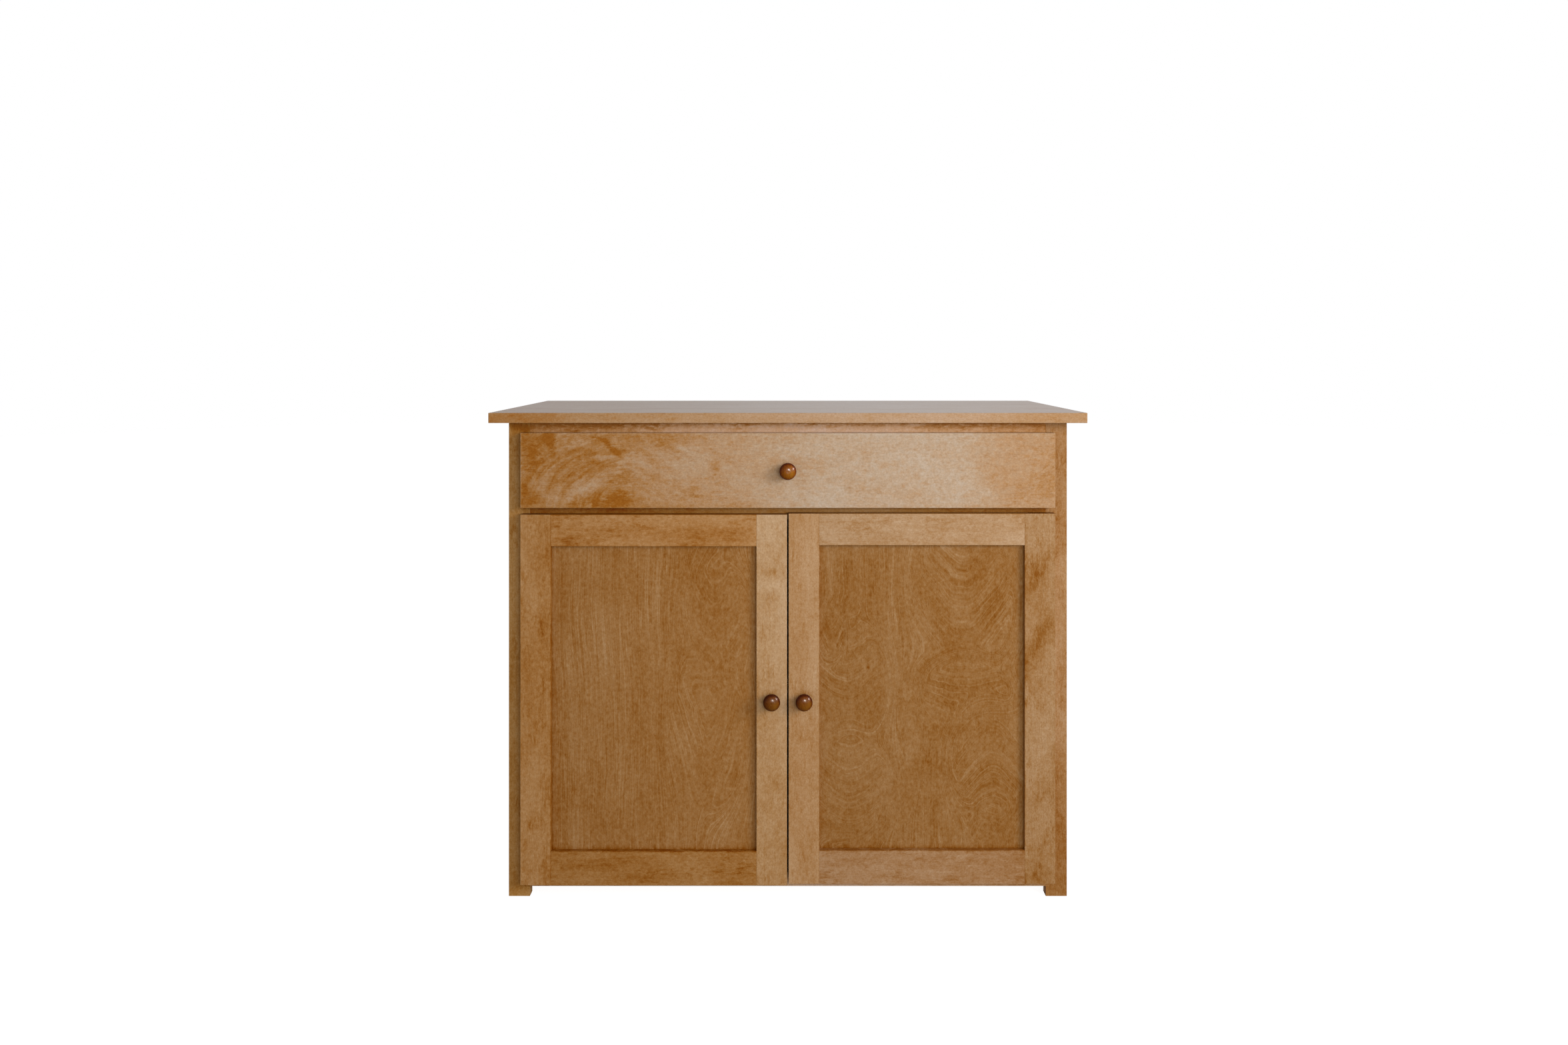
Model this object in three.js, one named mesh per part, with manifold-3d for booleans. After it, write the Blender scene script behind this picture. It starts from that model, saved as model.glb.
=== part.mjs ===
// Dry sink cabinet in birch: a case with a face frame, one wide drawer above a pair of framed doors.
// Millimetres, +Z up, the front faces -Y, and the origin is on the floor under the middle of the piece.
import * as THREE from "three";
import { mergeVertices } from "three/addons/utils/BufferGeometryUtils.js";
import Module from "manifold-3d";

const wasm = await Module();
wasm.setup();

// Overall sizes
const HEIGHT = 914.4;
const TOP_WIDTH = 1117.6;
const TOP_DEPTH = 482.6;
const TOP_THICKNESS = 19;
const SIDE_OVERHANG = 31.75;
const FRONT_OVERHANG = 25.4;

// Case boards
const BOARD_THICKNESS = 19;
const BACK_THICKNESS = 6;
const BACK_RABBET_WIDTH = 9.5;
const DADO_DEPTH = 6.35;
const STRETCHER_WIDTH = 76;
const NAILER_HEIGHT = 89;
const FOOT_HEIGHT = 19.05;
const SIDE_FOOT_LENGTH = 60;

// Face frame
const FRAME_THICKNESS = 19;
const FRAME_STILE_WIDTH = 40;
const TOP_RAIL_HEIGHT = 31.75;
const MIDDLE_RAIL_HEIGHT = 38.1;
const BOTTOM_RAIL_HEIGHT = 25.4;
const DRAWER_OPENING_HEIGHT = 114.3;

// Drawer front and doors, which overlay the face frame
const OVERLAY = 12.7;
const FRONT_GAP = 2.8;
const FRONT_THICKNESS = 19;
const MEETING_GAP = 3;
const RIGHT_DOOR_LIFT = 2;
const DOOR_STILE_WIDTH = 57.15;
const DOOR_TOP_RAIL_HEIGHT = 59;
const DOOR_BOTTOM_RAIL_HEIGHT = 63;
const PANEL_THICKNESS = 6;
const PANEL_RECESS = 9.5;
const PANEL_GROOVE_DEPTH = 9.5;

// Drawer box
const DRAWER_SIDE_THICKNESS = 12.7;
const DRAWER_BOTTOM_THICKNESS = 6;
const DRAWER_BOTTOM_RISE = 9.5;
const DRAWER_GROOVE_DEPTH = 6.35;
const DRAWER_CLEARANCE_BELOW = 6.35;
const DRAWER_CLEARANCE_ABOVE = 12;
const DRAWER_REAR_CLEARANCE = 30;

// Drawer slides with three members
const SLIDE_THICKNESS = 12.7;
const SLIDE_HEIGHT = 45;
const SLIDE_GAUGE = 1.2;
const SLIDE_CLEARANCE = 0.4;
const SLIDE_SETBACK = 2;
const SLIDE_LIP_INSET = 2.5;
const SPACER_HEIGHT = 64;

// Adjustable shelf and its pins
const SHELF_THICKNESS = 19;
const SHELF_END_CLEARANCE = 0.8;
const SHELF_SETBACK = 20;
const SHELF_REAR_CLEARANCE = 3;
const SHELF_HOLE_PITCH = 32;
const SHELF_HOLE_COUNT = 5;
const SHELF_HOLE_IN_USE = 2;
const SHELF_PIN_INSET = 50;
const SHELF_PIN_DIAMETER = 5;
const SHELF_PIN_DEPTH = 8;
const SHELF_PIN_REACH = 9;
const SHELF_SPOON_WIDTH = 12;
const SHELF_SPOON_THICKNESS = 1.6;

// Turned knobs and their screws
const KNOB_DIAMETER = 31.75;
const KNOB_REACH = 27;
const KNOB_BASE_DIAMETER = 19;
const KNOB_NECK_DIAMETER = 15;
const KNOB_NECK_HEIGHT = 5;
const KNOB_WIDEST_HEIGHT = 15.5;
const KNOB_DIMPLE_DIAMETER = 7;
const KNOB_DIMPLE_DEPTH = 0.8;
const SCREW_DIAMETER = 4.2;
const SCREW_HEAD_DIAMETER = 9;
const SCREW_HEAD_HEIGHT = 2.8;
const SCREW_ENGAGEMENT = 11;

// Concealed hinges: a cup let into each door and an arm on the inner edge of the frame stile
const HINGE_INSET = 90;
const HINGE_PIVOT_DEPTH = 11;
const HINGE_SWING_CLEARANCE = 0.5;
const HINGE_PIN_DIAMETER = 2;
const HINGE_KNUCKLE_WALL = 1.1;
const HINGE_ARM_THICKNESS = 1.5;
const HINGE_ARM_HEIGHT = 10;
const HINGE_LEG_CLEARANCE = 0.75;
const HINGE_BASE_HEIGHT = 24;
const HINGE_BASE_INSET = 1;
const CUP_DIAMETER = 35;
const CUP_TAB = 2.5;
const CUP_WALL = 0.8;
const CUP_FLOOR_CLEARANCE = 0.4;
const CUP_FLANGE_THICKNESS = 0.9;
const CUP_FLANGE_HEIGHT = 56;
const CUP_FLANGE_ROUND = 9;

// Fits, cutters and facets
const FIT_CLEARANCE = 0.3;
const OVERRUN = 2;
const MERGE_DISTANCE = 0.001;
const KNOB_FACETS = 32;
const CUP_FACETS = 28;
const ROUND_FACETS = 12;
const CURVE_STEPS = 5;

// Places worked out from the sizes; the frame's front face is where the depths start
const bodyDepth = TOP_DEPTH - FRONT_OVERHANG;
const frameFront = (FRONT_GAP + FRONT_THICKNESS + KNOB_REACH - bodyDepth) / 2;
const frameBack = frameFront + FRAME_THICKNESS;
const caseBack = frameFront + bodyDepth;
const backPanelFront = caseBack - BACK_THICKNESS;
const nailerFront = backPanelFront - BOARD_THICKNESS;
const frontsBack = frameFront - FRONT_GAP;
const frontsFace = frontsBack - FRONT_THICKNESS;

const bodyHalf = TOP_WIDTH / 2 - SIDE_OVERHANG;
const sideInner = bodyHalf - BOARD_THICKNESS;
const openingHalf = bodyHalf - FRAME_STILE_WIDTH;
const frontsHalf = openingHalf + OVERLAY;

const bodyTop = HEIGHT - TOP_THICKNESS;
const drawerOpeningTop = bodyTop - TOP_RAIL_HEIGHT;
const drawerOpeningBottom = drawerOpeningTop - DRAWER_OPENING_HEIGHT;
const cupboardTop = drawerOpeningBottom - MIDDLE_RAIL_HEIGHT;
const cupboardBottom = FOOT_HEIGHT + BOTTOM_RAIL_HEIGHT;
const floorUnderside = cupboardBottom - BOARD_THICKNESS;

const boxHalf = openingHalf - SLIDE_THICKNESS;
const boxInnerHalf = boxHalf - DRAWER_SIDE_THICKNESS;
const boxBottom = drawerOpeningBottom + DRAWER_CLEARANCE_BELOW;
const boxTop = drawerOpeningTop - DRAWER_CLEARANCE_ABOVE;
const boxFrontBack = frontsBack + DRAWER_SIDE_THICKNESS;
const slideFront = frameFront + SLIDE_SETBACK;
const slideRear = nailerFront - DRAWER_REAR_CLEARANCE;
const slideDepths = [slideFront, slideRear];
const slideMiddle = (boxBottom + boxTop) / 2;
const drawerCentre = (drawerOpeningTop + drawerOpeningBottom) / 2;

const doorBottom = cupboardBottom - OVERLAY;
const doorTop = cupboardTop + OVERLAY;
const doorInner = MEETING_GAP / 2;
const doorMiddle = (doorBottom + doorTop) / 2;
const panelFront = frontsFace + PANEL_RECESS;
const panelBack = panelFront + PANEL_THICKNESS;

const shelfFront = frameBack + SHELF_SETBACK;
const shelfRear = backPanelFront - SHELF_REAR_CLEARANCE;
const shelfPinRows = [shelfFront + SHELF_PIN_INSET, shelfRear - SHELF_PIN_INSET];

const pivotReach = HINGE_PIVOT_DEPTH + FRONT_GAP - HINGE_SWING_CLEARANCE;
const pivotInset = Math.sqrt(pivotReach ** 2 - HINGE_PIVOT_DEPTH ** 2);
const pivotX = -frontsHalf + pivotInset;
const pivotY = frontsBack - HINGE_PIVOT_DEPTH;
const knuckleRadius = HINGE_PIN_DIAMETER / 2 + FIT_CLEARANCE + HINGE_KNUCKLE_WALL;
const legStart = pivotReach + HINGE_LEG_CLEARANCE;
const cupX = -frontsHalf + CUP_TAB + CUP_DIAMETER / 2;
const cupOuterRadius = CUP_DIAMETER / 2 - FIT_CLEARANCE;
const cupInnerRadius = cupOuterRadius - CUP_WALL;
const cupInnerDepth = HINGE_PIVOT_DEPTH + knuckleRadius + CUP_FLOOR_CLEARANCE;
const cupOuterDepth = cupInnerDepth + CUP_WALL;
const cupFlangeTop = FIT_CLEARANCE + CUP_FLANGE_THICKNESS;

// Finishes
function finish(color, roughness, metalness = 0) {
  return new THREE.MeshStandardMaterial({ color, roughness, metalness });
}

const birch = finish(0xb98a58, 0.45);
const birchRail = finish(0xbd8f60, 0.45);
const birchVeneer = finish(0x93652f, 0.42);
const plywood = finish(0xcfae7e, 0.6);
const plywoodBack = finish(0xc9a878, 0.7);
const turnedWood = finish(0x7a3d0c, 0.25);
const zincSteel = finish(0xb8bcc0, 0.35, 0.9);
const nickelSteel = finish(0xc4c2bc, 0.28, 0.95);

// A box that fills three ranges, each given by its two ends
function block(...ranges) {
  const low = new THREE.Vector3(...ranges.map((ends) => Math.min(...ends)));
  const high = new THREE.Vector3(...ranges.map((ends) => Math.max(...ends)));
  const size = high.clone().sub(low);
  const centre = high.clone().add(low).divideScalar(2);
  const place = new THREE.Matrix4().compose(centre, new THREE.Quaternion(), size);
  return new THREE.BoxGeometry(1, 1, 1).applyMatrix4(place);
}

// A range that runs past both of its ends, for a cutter
function past([low, high]) {
  return [low - OVERRUN, high + OVERRUN];
}

function solidOf(geometry) {
  const bare = geometry.clone();
  bare.deleteAttribute("normal");
  bare.deleteAttribute("uv");
  const merged = mergeVertices(bare, MERGE_DISTANCE);
  const vertProperties = merged.getAttribute("position").array;
  const triVerts = new Uint32Array(merged.index.array);
  return new wasm.Manifold(new wasm.Mesh({ numProp: 3, vertProperties, triVerts }));
}

function geometryOf(solid) {
  const mesh = solid.getMesh();
  const geometry = new THREE.BufferGeometry();
  geometry.setAttribute("position", new THREE.BufferAttribute(mesh.vertProperties, 3));
  geometry.setIndex(new THREE.BufferAttribute(mesh.triVerts, 1));
  geometry.computeVertexNormals();
  return geometry;
}

function cut(geometry, ...cutters) {
  const start = solidOf(geometry);
  return geometryOf(cutters.reduce((solid, cutter) => solid.subtract(solidOf(cutter)), start));
}

function join(geometry, ...others) {
  const start = solidOf(geometry);
  return geometryOf(others.reduce((solid, other) => solid.add(solidOf(other)), start));
}

// A round bar along Y between two depths
function barAlongY(diameter, x, [front, rear], z, facets = ROUND_FACETS) {
  const bar = new THREE.CylinderGeometry(diameter / 2, diameter / 2, rear - front, facets);
  return bar.translate(x, (front + rear) / 2, z);
}

// A round bar along X between its start and its end
function barAlongX(diameter, [start, end], y, z) {
  const bar = new THREE.CylinderGeometry(diameter / 2, diameter / 2, end - start, ROUND_FACETS);
  return bar.rotateZ(Math.PI / 2).translate((start + end) / 2, y, z);
}

function piece(group, name, geometry, material) {
  const mesh = new THREE.Mesh(geometry, material);
  mesh.name = name;
  group.add(mesh);
  return mesh;
}

// What stands on both sides is built for the left, at negative x, and mirrored for the right
const SIDES = [
  ["left", 1],
  ["right", -1],
];

function sideGroup(parent, mirror) {
  const group = new THREE.Group();
  group.scale.x = mirror;
  parent.add(group);
  return group;
}

// How much higher the door of that side hangs, with its hinges
function doorLift(side) {
  return side === "right" ? RIGHT_DOOR_LIFT : 0;
}

// Side panel: a rabbet for the back, a dado for the floor, a foot cut-out and two rows of shelf holes
function sidePanelGeometry() {
  const depths = [frameBack, caseBack];
  const heights = [0, bodyTop];
  const panel = block([-bodyHalf, -sideInner], depths, heights);
  const rabbet = block(
    [-sideInner - BACK_RABBET_WIDTH, -sideInner + OVERRUN],
    [backPanelFront - FIT_CLEARANCE, caseBack + OVERRUN],
    [FOOT_HEIGHT - FIT_CLEARANCE, bodyTop + OVERRUN],
  );
  const dado = block(
    [-sideInner - DADO_DEPTH, -sideInner + OVERRUN],
    past(depths),
    [floorUnderside - FIT_CLEARANCE, cupboardBottom + FIT_CLEARANCE],
  );
  const footGap = block(
    past([-bodyHalf, -sideInner]),
    [frameBack + SIDE_FOOT_LENGTH, caseBack - SIDE_FOOT_LENGTH],
    [-OVERRUN, FOOT_HEIGHT],
  );
  return cut(panel, rabbet, dado, footGap, ...shelfHoles());
}

function shelfHoleHeight(index) {
  const middle = (SHELF_HOLE_COUNT - 1) / 2;
  return (cupboardBottom + cupboardTop) / 2 + (index - middle) * SHELF_HOLE_PITCH;
}

function shelfHoles() {
  const diameter = SHELF_PIN_DIAMETER + 2 * FIT_CLEARANCE;
  const ends = [-sideInner - SHELF_PIN_DEPTH - FIT_CLEARANCE, -sideInner + OVERRUN];
  const indices = [...Array(SHELF_HOLE_COUNT).keys()];
  return shelfPinRows.flatMap((y) =>
    indices.map((index) => barAlongX(diameter, ends, y, shelfHoleHeight(index))),
  );
}

// Shelf pin: a round peg with a flat spoon on top of its free end
function shelfPinGeometry(y) {
  const z = shelfHoleHeight(SHELF_HOLE_IN_USE);
  const top = z + SHELF_PIN_DIAMETER / 2;
  const reach = -sideInner + SHELF_PIN_REACH;
  const peg = barAlongX(SHELF_PIN_DIAMETER, [-sideInner - SHELF_PIN_DEPTH, reach], y, z);
  const spoon = block(
    [-sideInner + FIT_CLEARANCE, reach],
    [y - SHELF_SPOON_WIDTH / 2, y + SHELF_SPOON_WIDTH / 2],
    [top - SHELF_SPOON_THICKNESS, top],
  );
  return join(peg, spoon);
}

function buildCase(root) {
  const group = new THREE.Group();
  root.add(group);
  const topDepths = [frameFront - FRONT_OVERHANG, caseBack];
  const top = block([-TOP_WIDTH / 2, TOP_WIDTH / 2], topDepths, [bodyTop, HEIGHT]);
  piece(group, "top_panel", top, birchRail);

  const floorHalf = sideInner + DADO_DEPTH - FIT_CLEARANCE;
  const floorHeights = [floorUnderside, cupboardBottom];
  const floor = block([-floorHalf, floorHalf], [frameBack, backPanelFront], floorHeights);
  piece(group, "cupboard_floor", floor, plywood);

  const backHalf = sideInner + BACK_RABBET_WIDTH - FIT_CLEARANCE;
  const back = block([-backHalf, backHalf], [backPanelFront, caseBack], [FOOT_HEIGHT, bodyTop]);
  piece(group, "back_panel", back, plywoodBack);

  const between = [-sideInner, sideInner];
  const stretcherDepths = [frameBack, frameBack + STRETCHER_WIDTH];
  const stretcher = block(between, stretcherDepths, [bodyTop - BOARD_THICKNESS, bodyTop]);
  piece(group, "front_top_stretcher", stretcher, plywood);
  const nailer = block(between, [nailerFront, backPanelFront], [bodyTop - NAILER_HEIGHT, bodyTop]);
  piece(group, "rear_nailer", nailer, plywood);

  buildFaceFrame(group);
  buildShelf(group);
  for (const [side, mirror] of SIDES) buildCaseSide(sideGroup(group, mirror), side);
}

function buildFaceFrame(group) {
  const depths = [frameFront, frameBack];
  const between = [-openingHalf, openingHalf];
  const rails = {
    top_frame_rail: [drawerOpeningTop, bodyTop],
    middle_frame_rail: [cupboardTop, drawerOpeningBottom],
    bottom_frame_rail: [FOOT_HEIGHT, cupboardBottom],
  };
  for (const [name, heights] of Object.entries(rails)) {
    piece(group, name, block(between, depths, heights), birchRail);
  }
}

function buildShelf(group) {
  const half = sideInner - SHELF_END_CLEARANCE;
  const underside = shelfHoleHeight(SHELF_HOLE_IN_USE) + SHELF_PIN_DIAMETER / 2 + FIT_CLEARANCE;
  const heights = [underside, underside + SHELF_THICKNESS];
  piece(group, "shelf", block([-half, half], [shelfFront, shelfRear], heights), plywood);
}

// The stile, the side panel and what is fastened to them
function buildCaseSide(group, side) {
  const frameDepths = [frameFront, frameBack];
  const stile = block([-bodyHalf, -openingHalf], frameDepths, [0, bodyTop]);
  piece(group, `${side}_frame_stile`, stile, birch);
  piece(group, `${side}_side_panel`, sidePanelGeometry(), birch);

  const spacerHeights = [slideMiddle - SPACER_HEIGHT / 2, slideMiddle + SPACER_HEIGHT / 2];
  const spacer = block([-sideInner, -openingHalf], [frameBack, slideRear], spacerHeights);
  piece(group, `${side}_slide_spacer`, spacer, plywood);
  piece(group, `${side}_slide_cabinet_member`, cabinetMember(), zincSteel);

  const rows = ["front", "rear"];
  rows.forEach((row, index) => {
    const pin = shelfPinGeometry(shelfPinRows[index]);
    piece(group, `${side}_${row}_shelf_pin`, pin, nickelSteel);
  });
  const lift = doorLift(side);
  for (const [level, z] of hingeLevels()) {
    const base = piece(group, `${side}_${level}_hinge_base`, hingeBase(), zincSteel);
    base.position.z = z + lift;
    const arm = piece(group, `${side}_${level}_hinge_arm`, hingeArm(), nickelSteel);
    arm.position.set(pivotX, pivotY, z + lift);
  }
}

// A channel along Y: its web lies at the first x, and its flanges reach the second
function channel([web, lip], depths, [low, high]) {
  const inward = Math.sign(lip - web);
  const hollow = block(
    [web + inward * SLIDE_GAUGE, lip + inward * OVERRUN],
    past(depths),
    [low + SLIDE_GAUGE, high - SLIDE_GAUGE],
  );
  return cut(block([web, lip], depths, [low, high]), hollow);
}

// Each inner member of a slide nests in the one outside it, with the running clearance all round
function memberHeights(depthInNest) {
  const shrink = depthInNest * (SLIDE_GAUGE + SLIDE_CLEARANCE);
  return [slideMiddle - SLIDE_HEIGHT / 2 + shrink, slideMiddle + SLIDE_HEIGHT / 2 - shrink];
}

function cabinetMember() {
  const ends = [-openingHalf, -boxHalf - SLIDE_LIP_INSET];
  return channel(ends, slideDepths, memberHeights(0));
}

function middleMember() {
  const web = -openingHalf + SLIDE_GAUGE + SLIDE_CLEARANCE;
  return channel([web, -boxHalf - SLIDE_GAUGE - SLIDE_CLEARANCE], slideDepths, memberHeights(1));
}

function drawerMember() {
  const lip = -openingHalf + 2 * (SLIDE_GAUGE + SLIDE_CLEARANCE) + SLIDE_LIP_INSET;
  return channel([-boxHalf, lip], slideDepths, memberHeights(2));
}

function buildSlideMiddles(root) {
  for (const [side, mirror] of SIDES) {
    const group = sideGroup(root, mirror);
    piece(group, `${side}_slide_middle_member`, middleMember(), zincSteel);
  }
}

// Knob: base, waist, round body and a shallow turned dimple, with a blind hole for its screw
function knobGeometry() {
  const hole = SCREW_DIAMETER / 2 + FIT_CLEARANCE;
  const holeDepth = SCREW_ENGAGEMENT + FIT_CLEARANCE;
  const base = KNOB_BASE_DIAMETER / 2;
  const neck = KNOB_NECK_DIAMETER / 2;
  const widest = KNOB_DIAMETER / 2;
  const dimple = KNOB_DIMPLE_DIAMETER / 2;
  const profile = new THREE.Path();
  profile.moveTo(0, holeDepth);
  profile.lineTo(hole, holeDepth);
  profile.lineTo(hole, 0);
  profile.lineTo(base, 0);
  profile.quadraticCurveTo(neck, 0, neck, KNOB_NECK_HEIGHT);
  profile.bezierCurveTo(
    neck,
    (KNOB_NECK_HEIGHT + KNOB_WIDEST_HEIGHT) / 2,
    widest,
    (KNOB_NECK_HEIGHT + KNOB_WIDEST_HEIGHT) / 2,
    widest,
    KNOB_WIDEST_HEIGHT,
  );
  profile.bezierCurveTo(
    widest,
    (KNOB_WIDEST_HEIGHT + KNOB_REACH) / 2,
    (widest + dimple) / 2,
    KNOB_REACH,
    dimple,
    KNOB_REACH,
  );
  profile.lineTo(0, KNOB_REACH - KNOB_DIMPLE_DEPTH);
  return new THREE.LatheGeometry(profile.getPoints(CURVE_STEPS), KNOB_FACETS);
}

// Screw along Y: its head bears on the back of the wood, which is at y = 0
function screwGeometry(woodThickness) {
  const shank = SCREW_DIAMETER / 2;
  const head = SCREW_HEAD_DIAMETER / 2;
  const tip = -woodThickness - SCREW_ENGAGEMENT;
  const profile = new THREE.Path();
  profile.moveTo(0, tip);
  profile.lineTo(shank, tip);
  profile.lineTo(shank, FIT_CLEARANCE);
  profile.lineTo(head, FIT_CLEARANCE);
  profile.quadraticCurveTo(head, SCREW_HEAD_HEIGHT, 0, SCREW_HEAD_HEIGHT);
  return new THREE.LatheGeometry(profile.getPoints(CURVE_STEPS), ROUND_FACETS);
}

function addKnob(group, prefix, x, z, woodThickness) {
  const knob = piece(group, `${prefix}_knob`, knobGeometry(), turnedWood);
  knob.rotation.x = Math.PI;
  knob.position.set(x, frontsFace, z);
  const screw = piece(group, `${prefix}_knob_screw`, screwGeometry(woodThickness), zincSteel);
  screw.position.set(x, frontsFace + woodThickness, z);
}

function screwBore(x, depths, z) {
  return barAlongY(SCREW_DIAMETER + 2 * FIT_CLEARANCE, x, past(depths), z);
}

// Drawer: a wide front screwed to a box, whose bottom runs in grooves and under the box back
function buildDrawer(root) {
  const group = new THREE.Group();
  root.add(group);
  const frontHeights = [drawerOpeningBottom - OVERLAY, drawerOpeningTop + OVERLAY];
  const frontDepths = [frontsFace, frontsBack];
  const front = block([-frontsHalf, frontsHalf], frontDepths, frontHeights);
  piece(group, "drawer_front", cut(front, screwBore(0, frontDepths, drawerCentre)), birchRail);

  const heights = [boxBottom, boxTop];
  const between = [-boxInnerHalf, boxInnerHalf];
  const bottomLow = boxBottom + DRAWER_BOTTOM_RISE;
  const bottomHigh = bottomLow + DRAWER_BOTTOM_THICKNESS;
  const grooveHeights = [bottomLow - FIT_CLEARANCE, bottomHigh + FIT_CLEARANCE];
  const boxFrontDepths = [frontsBack, boxFrontBack];
  const boxFront = cut(
    block(between, boxFrontDepths, heights),
    block(past(between), [boxFrontBack - DRAWER_GROOVE_DEPTH, boxFrontBack + OVERRUN], grooveHeights),
    screwBore(0, boxFrontDepths, drawerCentre),
  );
  piece(group, "drawer_box_front", boxFront, plywood);

  const backDepths = [slideRear - DRAWER_SIDE_THICKNESS, slideRear];
  const backHeights = [bottomHigh + FIT_CLEARANCE, boxTop];
  piece(group, "drawer_box_back", block(between, backDepths, backHeights), plywood);

  const bottomHalf = boxInnerHalf + DRAWER_GROOVE_DEPTH - FIT_CLEARANCE;
  const bottomFront = boxFrontBack - DRAWER_GROOVE_DEPTH + FIT_CLEARANCE;
  const bottom = block([-bottomHalf, bottomHalf], [bottomFront, slideRear], [bottomLow, bottomHigh]);
  piece(group, "drawer_bottom", bottom, plywoodBack);
  addKnob(group, "drawer", 0, drawerCentre, FRONT_THICKNESS + DRAWER_SIDE_THICKNESS);

  for (const [side, mirror] of SIDES) {
    const sides = sideGroup(group, mirror);
    const sideDepths = [frontsBack, slideRear];
    const grooveAcross = [-boxInnerHalf - DRAWER_GROOVE_DEPTH, -boxInnerHalf + OVERRUN];
    const boxSide = cut(
      block([-boxHalf, -boxInnerHalf], sideDepths, heights),
      block(grooveAcross, past(sideDepths), grooveHeights),
    );
    piece(sides, `drawer_${side}_side`, boxSide, plywood);
    piece(sides, `${side}_slide_drawer_member`, drawerMember(), zincSteel);
  }
}

function hingeLevels() {
  return [
    ["upper", doorTop - HINGE_INSET],
    ["lower", doorBottom + HINGE_INSET],
  ];
}

// Hinge base: a block on the inner edge of the frame stile, centred on its own height
function hingeBase() {
  return block(
    [-openingHalf, pivotX + legStart - FIT_CLEARANCE],
    [frameFront + HINGE_BASE_INSET, frameBack - HINGE_BASE_INSET],
    [-HINGE_BASE_HEIGHT / 2, HINGE_BASE_HEIGHT / 2],
  );
}

// Hinge arm, from its pivot: a knuckle, a leaf inwards along the cup and a leg back to the base
function hingeArm() {
  const leafTop = HINGE_ARM_THICKNESS - knuckleRadius;
  const legEnd = legStart + HINGE_ARM_THICKNESS;
  const legRear = frameBack - HINGE_BASE_INSET - pivotY;
  const outline = new THREE.Shape();
  outline.moveTo(0, -knuckleRadius);
  outline.lineTo(legEnd, -knuckleRadius);
  outline.lineTo(legEnd, legRear);
  outline.lineTo(legStart, legRear);
  outline.lineTo(legStart, leafTop);
  outline.absarc(0, 0, knuckleRadius, Math.asin(leafTop / knuckleRadius), 1.5 * Math.PI);
  const bore = new THREE.Path();
  bore.absarc(0, 0, HINGE_PIN_DIAMETER / 2 + FIT_CLEARANCE, 0, 2 * Math.PI);
  outline.holes.push(bore);
  const settings = { depth: HINGE_ARM_HEIGHT, bevelEnabled: false, curveSegments: ROUND_FACETS };
  const arm = new THREE.ExtrudeGeometry(outline, settings);
  return arm.translate(0, 0, -HINGE_ARM_HEIGHT / 2);
}

// Hinge cup: a round cup with a flange on the back of the door, and the hinge pin across its mouth
function hingeCup() {
  const profile = [
    [0, -cupOuterDepth],
    [cupOuterRadius, -cupOuterDepth],
    [cupOuterRadius, cupFlangeTop],
    [cupInnerRadius, cupFlangeTop],
    [cupInnerRadius, -cupInnerDepth],
    [0, -cupInnerDepth],
  ];
  const points = profile.map(([radius, depth]) => new THREE.Vector2(radius, depth));
  const cup = new THREE.LatheGeometry(points, CUP_FACETS).translate(0, frontsBack, 0);
  const mouth = barAlongY(2 * cupInnerRadius, 0, past([frontsBack, frontsBack]), 0, CUP_FACETS);
  const flange = cut(flangePlate(), mouth);
  return join(cup, flange, hingePin()).translate(cupX, 0, 0);
}

// The pin stands upright across the cup and ends halfway through its wall
function hingePin() {
  const radius = HINGE_PIN_DIAMETER / 2;
  const pin = new THREE.CylinderGeometry(radius, radius, CUP_DIAMETER, ROUND_FACETS);
  pin.rotateX(Math.PI / 2).translate(pivotX - cupX, pivotY, 0);
  const wall = cupInnerRadius + cupOuterRadius;
  const reach = barAlongY(wall, 0, past([pivotY, pivotY]), 0, CUP_FACETS);
  return geometryOf(solidOf(pin).intersect(solidOf(reach)));
}

function flangePlate() {
  const halfWidth = cupOuterRadius;
  const halfHeight = CUP_FLANGE_HEIGHT / 2;
  const straight = halfHeight - CUP_FLANGE_ROUND;
  const flat = halfWidth - CUP_FLANGE_ROUND;
  const outline = new THREE.Shape();
  outline.absarc(flat, straight, CUP_FLANGE_ROUND, 0, Math.PI / 2);
  outline.absarc(-flat, straight, CUP_FLANGE_ROUND, Math.PI / 2, Math.PI);
  outline.absarc(-flat, -straight, CUP_FLANGE_ROUND, Math.PI, 1.5 * Math.PI);
  outline.absarc(flat, -straight, CUP_FLANGE_ROUND, 1.5 * Math.PI, 2 * Math.PI);
  const settings = { depth: CUP_FLANGE_THICKNESS, bevelEnabled: false, curveSegments: CURVE_STEPS };
  const plate = new THREE.ExtrudeGeometry(outline, settings).rotateX(Math.PI / 2);
  return plate.translate(0, frontsBack + cupFlangeTop, 0);
}

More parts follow.
